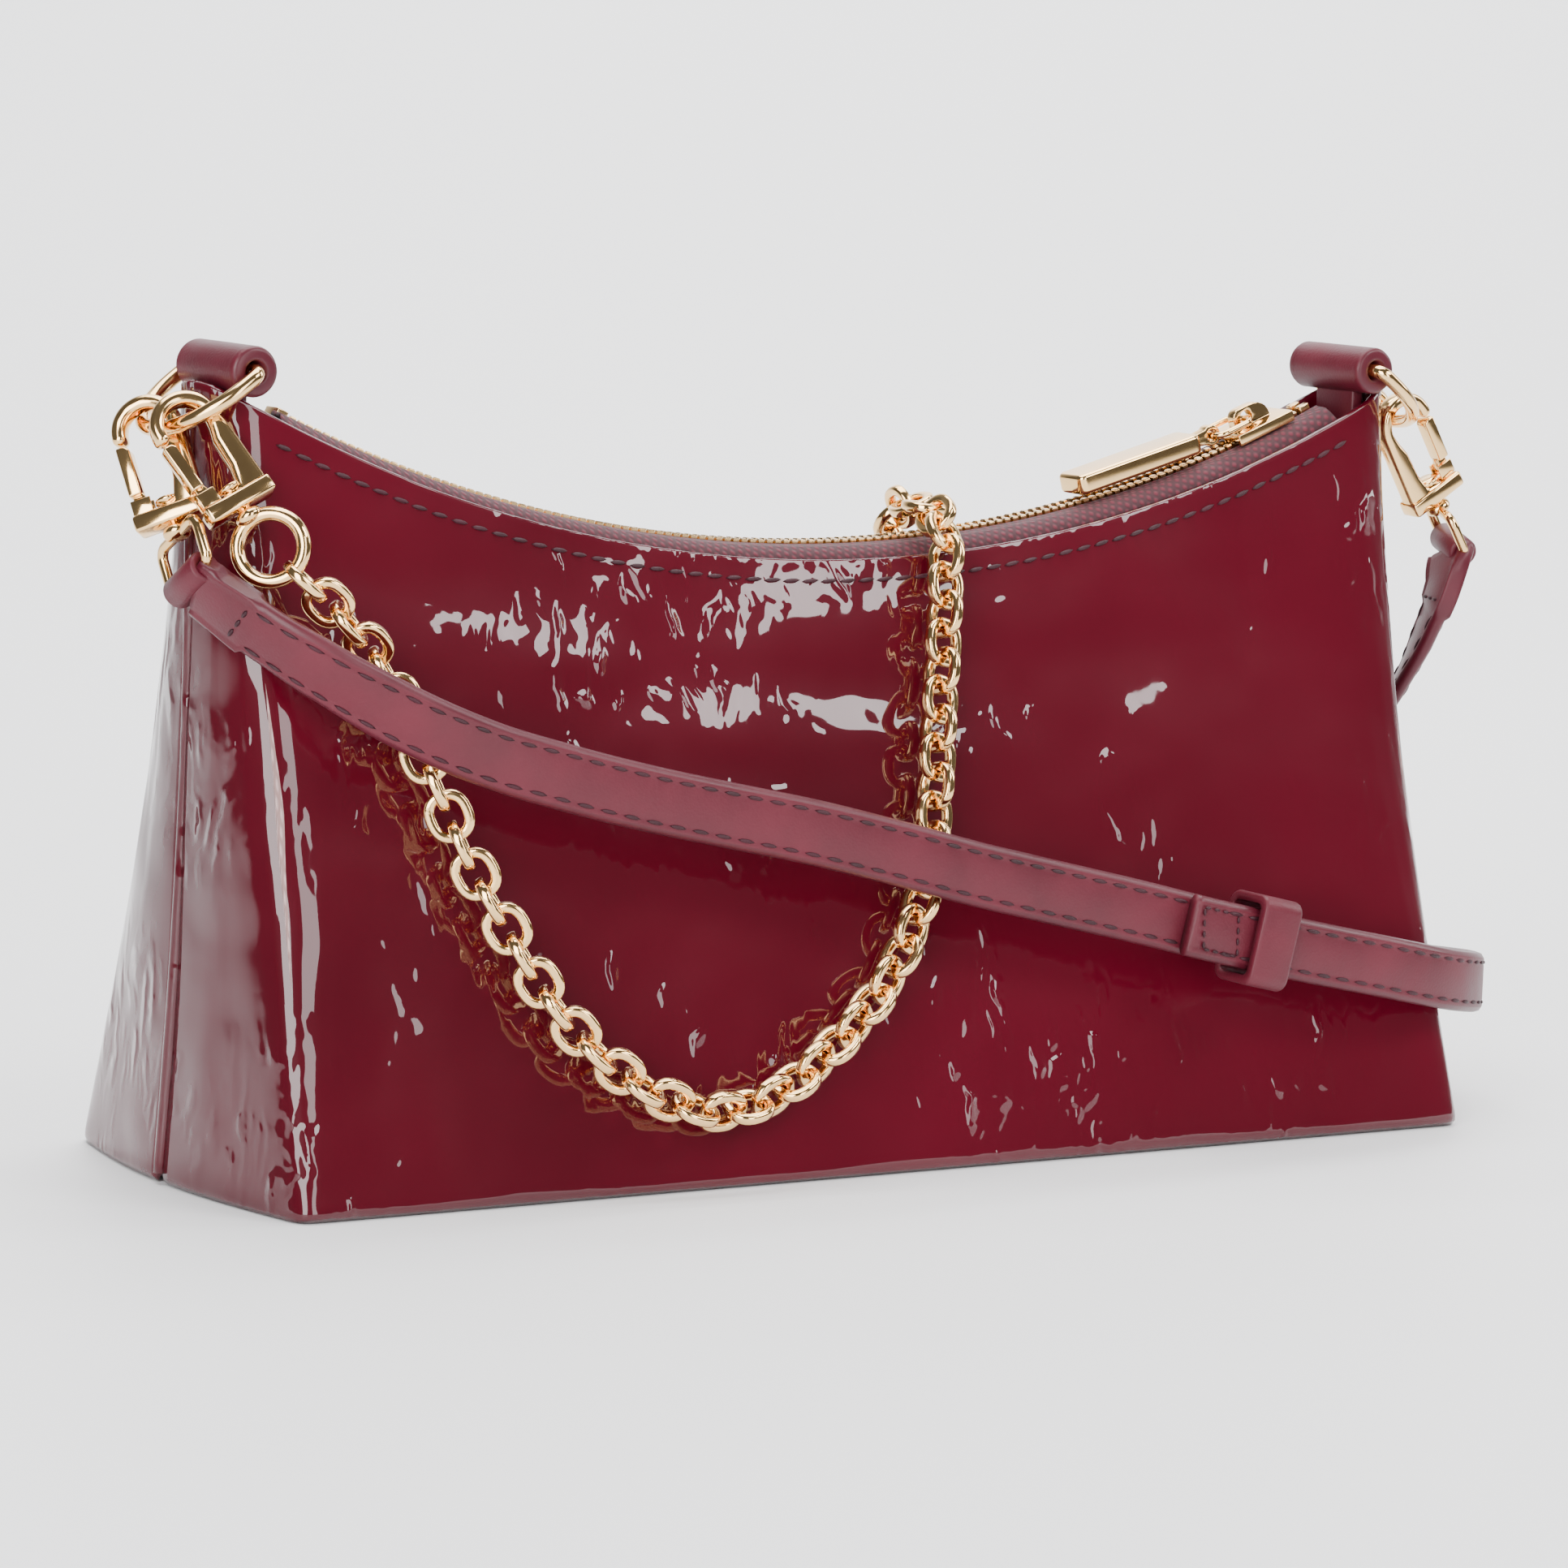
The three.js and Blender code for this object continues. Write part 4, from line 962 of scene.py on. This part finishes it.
def rounded_loop(half_width, length, corner, steps=6):
    """(along, across) points of a rounded rectangle that starts at the near end."""
    points = []
    corners = [
        (length - corner, half_width - corner, 0), (length - corner, -half_width + corner, -1),
        (corner, -half_width + corner, -2), (corner, half_width - corner, -3),
    ]
    for along, across, quarter in corners:
        for i in range(steps + 1):
            a = math.pi / 2 + (quarter - i / steps) * math.pi / 2
            points.append((along + corner * math.cos(a), across + corner * math.sin(a)))
    return points


def add_wire_loop(name, origin, along_way, across_way, half_width, length, corner, wire):
    points = rounded_loop(half_width, length, corner)
    line = [origin + along_way * a + across_way * b for a, b in points]
    normal = along_way.cross(across_way).normalized()
    vertices, faces = sweep(line, circle(wire, 12), [normal] * len(line), closed=True)
    return fix_normals(add_object(name, vertices, faces, GOLD))


def add_pull_ring():
    ring = add_wire_loop(
        "pull_ring_wire", PULL_PIVOT, PULL_WAY, Vector((0, 1, 0)), 3.7 * MM, 9 * MM, 2.2 * MM, 0.65 * MM,
    )
    return placed(ring, "pull_ring", "pull_ring")


def solid_outline(name, outline, depth, material, place, width, segments=3):
    """An outline in a frame's XZ plane, made depth thick along its Y, with eased edges."""
    count = len(outline)
    vertices = [Vector((x, y, z)) for y in (-depth / 2, depth / 2) for x, z in outline]
    faces = [tuple(range(count)), tuple(range(2 * count - 1, count - 1, -1))]
    faces += [(i, (i + 1) % count, count + (i + 1) % count, count + i) for i in range(count)]
    piece = fix_normals(add_object(name, vertices, faces, material))
    bevel(piece, width, segments, 25)
    for polygon in piece.data.polygons:
        polygon.use_smooth = True
    piece.data.transform(place)
    return piece


def scaled(points):
    return [(x * MM, z * MM) for x, z in points]


def arc(cx, cz, radius, start, end, steps):
    return [
        (cx + radius * math.cos(math.radians(start + (end - start) * i / steps)),
         cz + radius * math.sin(math.radians(start + (end - start) * i / steps)))
        for i in range(steps + 1)
    ]


def rounded_rectangle(half_x, half_z, radius, steps):
    """An outline of (x, z) points about the origin, from the first corner round to the last."""
    x, z = half_x - radius, half_z - radius
    points = []
    for quarter, (cx, cz) in enumerate(((x, z), (-x, z), (-x, -z), (x, -z))):
        points += arc(cx, cz, radius, 90 * quarter, 90 * quarter + 90, steps)
    return points


BAR_NEAR, BAR_FAR, BAR_HALF_WIDTH, BAR_DEPTH = 4.5 * MM, 34.5 * MM, 4.2 * MM, 4.0 * MM
BAR_CORNER, BAR_EDGE = 1.6 * MM, 0.9 * MM
LUG_BORE, LUG_RADIUS, LUG_REACH = 1.1 * MM, 2.1 * MM, 5.2 * MM
LUG_HALF_DEPTH, LUG_HALF_WIDTH = 1.2 * MM, 1.3 * MM
LUG_SIDES = 24


def lug_mesh():
    """A flat eye about the origin, whose far side is drawn out along X to reach the bar."""
    vertices, faces = [], []
    for depth in (-LUG_HALF_DEPTH, LUG_HALF_DEPTH):
        vertices += [Vector((x, depth, z)) for x, z in circle(LUG_BORE, LUG_SIDES)]
        for x, z in circle(LUG_RADIUS, LUG_SIDES):
            if x > 0.75 * LUG_RADIUS:
                x, z = LUG_REACH, max(min(z, LUG_HALF_WIDTH), -LUG_HALF_WIDTH)
            vertices.append(Vector((x, depth, z)))
    # The four circles are bore and outside of the low face, then of the high one.
    for i in range(LUG_SIDES):
        k = (i + 1) % LUG_SIDES
        for a, b in ((0, 1), (2, 3), (1, 3), (0, 2)):
            a, b = a * LUG_SIDES, b * LUG_SIDES
            faces.append((a + i, a + k, b + k, b + i))
    return vertices, faces


def add_pull_bar():
    """A plain slim bar with softened ends, hung on the ring by a lug."""
    way = Matrix.Rotation(PULL_BAR_LEAN, 3, "Y") @ PULL_WAY
    up = Vector((0, 1, 0)).cross(way)
    up = up if up.z > 0 else -up
    side = up.cross(way)
    # The bar's X runs along it, its Z across it and its Y through it. The lug is turned about X.
    place = Matrix.Translation(BAR_PIVOT) @ Matrix((way, up, side)).transposed().to_4x4()
    turned = Matrix.Translation(BAR_PIVOT) @ Matrix((way, side, up)).transposed().to_4x4()
    middle = (BAR_NEAR + BAR_FAR) / 2
    outline = rounded_rectangle((BAR_FAR - BAR_NEAR) / 2, BAR_HALF_WIDTH, BAR_CORNER, 5)
    outline = [(middle + x, z) for x, z in outline]
    blade = solid_outline("blade", outline, BAR_DEPTH, GOLD, place, BAR_EDGE, 5)
    lug = fix_normals(add_object("lug", *lug_mesh(), GOLD))
    bevel(lug, 0.25 * MM, 3, 40)
    lug.data.transform(turned)
    return placed(joined("pull_bar_plate", [blade, lug]), "pull_bar", "pull_bar")


add_pull_ring()
add_pull_bar()

# ---------------------------------------------------------------- leather loops and D-rings

LOOP_Z = 146.8
LOOP_X = 125.0
LOOP_OUTER, LOOP_INNER, LOOP_HALF = 4.6, 2.1, 11.5
LOOP_SIDES = 40
RING_WIRE = 1.4
RING_HALF_WIDTH, RING_LEG = 13.5, 4.5


def add_loop(side_name, side):
    """A rolled leather tab: a tube with painted ends, whose flap goes down into the bag's top."""
    centre = Vector((side * LOOP_X, 0, LOOP_Z))
    rows = [
        (LOOP_INNER, LOOP_HALF), (LOOP_INNER + 0.5, LOOP_HALF), (LOOP_OUTER - 0.9, LOOP_HALF),
        (LOOP_OUTER - 0.3, LOOP_HALF - 0.25), (LOOP_OUTER, LOOP_HALF - 0.9),
        (LOOP_OUTER - 0.06, LOOP_HALF - 1.7), (LOOP_OUTER, LOOP_HALF - 2.4), (LOOP_OUTER + 0.02, 0),
    ]
    rows = rows + [(r, -y) for r, y in rows[-2::-1]]
    vertices = []
    for radius, y in rows:
        vertices += [(centre + Vector((x, y, z))) * MM for x, z in circle(radius, LOOP_SIDES)]
    faces = ring_faces(len(rows), LOOP_SIDES, closed=True)
    roll = fix_normals(add_object("roll", vertices, faces, STRAP))
    roll.data.materials.append(STRAP_EDGE)
    for polygon in roll.data.polygons:
        if abs(abs(polygon.center.y) - LOOP_HALF * MM) < 0.35 * MM:
            polygon.material_index = 1
    flap_outline = [(-1.3, -4.1), (1.3, -4.1), (1.3, -12.9), (-1.3, -12.9)]
    place = Matrix.Translation(centre * MM)
    flap = solid_outline("flap", scaled(flap_outline), 12 * MM, STRAP, place, 0.5 * MM)
    loop = joined(side_name + "_loop_leather", [roll, flap])
    return placed(loop, side_name + "_loop", "bag")


def add_ring(side_name, side):
    """The D-ring: a straight bar through the loop and a bow that hangs outwards."""
    hang_way = Vector((side * 0.8, 0, -0.6))
    corner, points = 2.2, []
    for i in range(41):
        a = math.pi * i / 40
        points.append((RING_HALF_WIDTH * math.cos(a), RING_LEG + RING_HALF_WIDTH * math.sin(a)))
    for y, quarter in ((-RING_HALF_WIDTH + corner, 0), (RING_HALF_WIDTH - corner, 1)):
        for i in range(7):
            a = (quarter + i / 6) * math.pi / 2
            points.append((y - corner * math.cos(a), corner - corner * math.sin(a)))
    centre = Vector((side * LOOP_X, 0, LOOP_Z))
    line = [(centre + hang_way * hang + Vector((0, y, 0))) * MM for y, hang in points]
    normal = hang_way.cross(Vector((0, 1, 0))).normalized()
    vertices, faces = sweep(line, circle(RING_WIRE * MM, 16), [normal] * len(line), closed=True)
    ring = fix_normals(add_object(side_name + "_ring_wire", vertices, faces, GOLD))
    return placed(ring, side_name + "_ring", side_name + "_ring_set")


for side_name, side in (("left", -1), ("right", 1)):
    add_loop(side_name, side)
    add_ring(side_name, side)

# ---------------------------------------------------------------- clasps

HOOK_INNER, HOOK_OUTER, HOOK_DEPTH = 3.9, 6.5, 3.0
COLLAR_TOP, COLLAR_LOW = -14.5, -18.5
PIN_X, PIN_Z, PIN_SIDES = -4.6, -12.9, 16
POST_SIDES, EYE_STEPS = 28, 48


def add_hook(name, body):
    """The clasp's body: a thick bow and spine, a faceted collar below, and a slotted foot for the gate."""
    place = FRAMES[name]
    outline = (
        [(HOOK_OUTER - 0.2, COLLAR_LOW + 1), (HOOK_OUTER, COLLAR_TOP), (HOOK_OUTER, 0)]
        + arc(0, 0, HOOK_OUTER, 8, 172, 20)
        + [(-HOOK_OUTER, 0), (-HOOK_OUTER, -1.2), (-HOOK_INNER, -1.2), (-HOOK_INNER, 0)]
        + arc(0, 0, HOOK_INNER, 172, 8, 16)
        + [(HOOK_INNER, 0), (3.3, -2.6), (2.5, -5), (2.2, -10.5), (1.2, COLLAR_TOP)]
        + [(-2.5, COLLAR_TOP), (-2.5, COLLAR_LOW + 1)]
    )
    bow = solid_outline("bow", scaled(outline), (HOOK_DEPTH + 1.0) * MM, GOLD, place, 1.15 * MM, 4)
    low, high = COLLAR_LOW + 0.3, COLLAR_TOP - 0.2
    collar_outline = [(-6.7, high - 0.4), (6.7, high - 0.4), (6.7, low), (-6.7, low)]
    collar = solid_outline("collar", scaled(collar_outline), 5.2 * MM, GOLD, place, 0.55 * MM, 2)
    cheeks = []
    for side in (-1, 1):
        foot = [(-6.4, COLLAR_TOP - 0.4), (-6.4, -12.1), (-2.7, -12.1), (-2.7, COLLAR_TOP - 0.4)]
        shift = place @ Matrix.Translation(Vector((0, side * 1.28 * MM, 0)))
        cheeks.append(solid_outline("cheek", scaled(foot), 0.42 * MM, GOLD, shift, 0.12 * MM, 2))
    return placed(joined(name + "_hook_body", [bow, collar] + cheeks), name + "_hook", body)


def add_gate(name):
    """The flat spring gate, and the knuckle that it turns on."""
    place = FRAMES[name]
    blade_outline = [(-6.35, -1.75), (-4.6, -1.75), (-3.9, -2.6), (-3.9, -11.2), (-6.3, -11.2)]
    blade = solid_outline("blade", scaled(blade_outline), 3.3 * MM, GOLD, place, 0.35 * MM)
    knuckle_outline = [(-5.7, -10.9), (-3.8, -10.9)] + arc(PIN_X, PIN_Z, 1.35, 20, -200, 12)
    knuckle = solid_outline("knuckle", scaled(knuckle_outline), 1.7 * MM, GOLD, place, 0.15 * MM, 2)
    return placed(joined(name + "_gate_plate", [blade, knuckle]), name + "_gate", name + "_gate")


def add_pin(name, body):
    """The gate's pin, with domed ends."""
    place = FRAMES[name]
    rows = [(0.02, 1.42), (0.3, 1.38), (0.5, 1.2), (0.5, -1.2), (0.3, -1.38), (0.02, -1.42)]
    vertices = []
    for radius, y in rows:
        for x, z in circle(radius, PIN_SIDES):
            vertices.append(place @ (Vector((PIN_X + x, y, PIN_Z + z)) * MM))
    faces = ring_faces(len(rows), PIN_SIDES) + ring_caps(len(rows), PIN_SIDES)
    pin = fix_normals(add_object(name + "_pin", vertices, faces, GOLD))
    return placed(pin, name + "_gate_pin", body)


def lathe(name, profile, place):
    """A turned part about a frame's Z, from (radius, height) points."""
    vertices = []
    for radius, z in profile:
        vertices += [place @ Vector((x, y, z)) for x, y in circle(radius, POST_SIDES)]
    faces = ring_faces(len(profile), POST_SIDES) + ring_caps(len(profile), POST_SIDES)
    return fix_normals(add_object(name, vertices, faces, GOLD))


def add_eye(name):
    """The swivel: a turned post and ball, and the eye that the chain or the strap hangs on."""
    place = FRAMES[name]
    profile = [
        (0.3, -13.3), (2.1, -13.3), (2.3, -13.5), (2.3, -14.1), (1.3, -14.3), (1.3, -18.6), (1.7, -18.8),
        (2.3, -19.1), (2.6, -19.7), (2.6, -20.2), (2.3, -20.8), (1.6, -21.2), (0.4, -21.35),
    ]
    post = lathe("post", scaled(profile), place)
    centre = place @ Vector((0, 0, ROUND_EYE_Z))
    axis = (place.to_3x3() @ Vector((0, 0, 1))).normalized()
    if name.endswith("chain"):
        normal = chain_eye_normal(name.split("_")[0])
        side = axis.cross(normal).normalized()
        line = [centre + axis * a + side * b for a, b in circle(ROUND_EYE_RADIUS, EYE_STEPS)]
        vertices, faces = sweep(line, circle(ROUND_EYE_WIRE, 14), [normal] * EYE_STEPS, closed=True)
        eye = fix_normals(add_object("eye", vertices, faces, GOLD))
    else:
        bar = LEFT_BAR if name.startswith("left") else RIGHT_BAR
        bar = (bar - axis * bar.dot(axis)).normalized()
        top = place @ Vector((0, 0, STRAP_EYE_TOP))
        drop = STRAP_EYE_TOP - STRAP_BAR_Z
        eye = add_wire_loop("eye", top, -axis, bar, STRAP_EYE_HALF, drop, 2.2 * MM, STRAP_EYE_WIRE)
    return placed(joined(name + "_eye_wire", [post, eye]), name + "_eye", name + "_eye")


for name in CLASPS:
    body = name.split("_")[0] + "_ring_set"
    add_hook(name, body)
    add_gate(name)
    add_pin(name, body)
    add_eye(name)

# ---------------------------------------------------------------- keeper

KEEPER_AT = Vector((74, -48.4, 40.25)) * MM
KEEPER_WAY = Vector(JOINTS["keeper_slide"]["axis"]).normalized()


def add_keeper():
    """A narrow leather band round both layers of the strap."""
    outer, inner = rounded_rectangle(6.1, 8.8, 2.6, 6), rounded_rectangle(4.3, 7, 1.2, 6)
    normal = Vector((0, -1, 0))
    width = KEEPER_WAY.cross(normal)
    levels = [(-4.5, 0.5), (-4.3, 0.15), (-3.8, 0.0), (3.8, 0.0), (4.3, 0.15), (4.5, 0.5)]
    rows = [(outer, level, 1 - shrink / 8) for level, shrink in levels]
    rows += [(inner, level, 1) for level, _ in levels[::-1]]
    vertices = []
    for outline, level, factor in rows:
        for x, y in outline:
            vertices.append(KEEPER_AT + (normal * x * factor + width * y * factor + KEEPER_WAY * level) * MM)
    faces = ring_faces(len(rows), len(outer), closed=True)
    band = fix_normals(add_object("strap_keeper_leather", vertices, faces, STRAP))
    return placed(band, "strap_keeper", "strap_keeper")


add_keeper()


TAB_LEFT, TAB_RIGHT, TAB_HALF_HEIGHT, TAB_Y = 58.5, 66.5, 4.0, -51.75
TAB_STITCH, TAB_PITCH = 1.5, 2.1


def tab_point(x, across):
    """A point on the tab's face, whose middle line slopes down from 44.4 at x 56.4."""
    return Vector((x, TAB_Y, 44.4 - 0.235 * (x - 56.4) + across)) * MM


def add_tab_stitching():
    """The stitched box at the end of the right strap."""
    runs = []
    starts = [TAB_PITCH * i for i in range(4)]
    for across in (-TAB_HALF_HEIGHT, TAB_HALF_HEIGHT):
        for x in (TAB_LEFT + start for start in starts):
            runs.append((tab_point(x, across), tab_point(x + TAB_STITCH, across)))
    for x in (TAB_LEFT, TAB_RIGHT):
        for across in (start - TAB_HALF_HEIGHT for start in starts):
            runs.append((tab_point(x, across), tab_point(x, across + TAB_STITCH)))
    return placed(add_stitches("tab_stitching", runs, 0.3 * MM), None, "bag")


add_tab_stitching()

# ---------------------------------------------------------------- CAD parts that stay

for node, material in (
    ("lining_front", LINING), ("lining_back", LINING), ("lining_base", LINING), ("slip_pocket", LINING),
    ("base_board", BOARD), ("base_panel", PATENT),
):
    data = frame["nodes"][node].data
    data.materials.clear()
    data.materials.append(material)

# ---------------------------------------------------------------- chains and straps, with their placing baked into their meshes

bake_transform(chain_left)
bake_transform(chain_right)
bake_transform(strap_left)
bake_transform(strap_right)

# ---------------------------------------------------------------- floor and light


def add_floor():
    material, _, _, shader = new_material("floor")
    set_inputs(shader, Base_Color=(0.86, 0.86, 0.87, 1), Roughness=0.55)
    vertices, faces = [], []
    profile = [(-3.0, 0.0), (1.0, 0.0)]
    for i in range(1, 13):
        a = math.pi / 2 * i / 12
        profile.append((1.0 + 0.8 * math.sin(a), 0.8 - 0.8 * math.cos(a)))
    profile.append((1.8, 3.5))
    for y, z in profile:
        vertices += [Vector((-3.5, y, z)), Vector((3.5, y, z))]
    for i in range(len(profile) - 1):
        faces.append((2 * i, 2 * i + 1, 2 * i + 3, 2 * i + 2))
    floor = add_object("floor", vertices, faces, material)
    floor.data.transform(Matrix.Rotation(CAMERA_AZIMUTH, 4, "Z"))
    floor.data.transform(Matrix.Translation(Vector((0, 0, -0.0003))))


def add_light(name, place, target, size, power, colour=(1, 1, 1)):
    data = bpy.data.lights.new(name, "AREA")
    data.shape = "RECTANGLE"
    data.size, data.size_y = size
    data.energy = power
    data.color = colour
    light = bpy.data.objects.new(name, data)
    light.location = place
    light.rotation_euler = (Vector(target) - Vector(place)).to_track_quat("-Z", "Y").to_euler()
    bpy.context.scene.collection.objects.link(light)


def add_world():
    world = bpy.data.worlds.new("studio")
    world.use_nodes = True
    set_inputs(world.node_tree.nodes["Background"], Color=(0.93, 0.94, 0.97, 1), Strength=0.15)
    bpy.context.scene.world = world


add_floor()
add_world()
add_light("left_softbox", (-1.05, -0.80, 0.50), (-0.08, 0, 0.07), (0.75, 0.90), 24)
add_light("top_softbox", (0.0, 0.15, 1.35), (0, 0, 0.06), (1.2, 0.9), 27)
add_light("front_softbox", (0.58, -0.84, 0.98), (0.0, 0, 0.08), (0.60, 0.42), 10)
add_light("camera_softbox", (0.02, -1.32, 0.44), (-0.06, 0, 0.07), (0.40, 0.80), 7)
add_light("right_softbox", (1.25, -0.22, 0.75), (0.05, 0, 0.08), (0.35, 0.8), 8)
add_light("backdrop_light", (0.55, 0.85, 1.55), (1.05, 1.65, 0.30), (1.6, 0.5), 48)
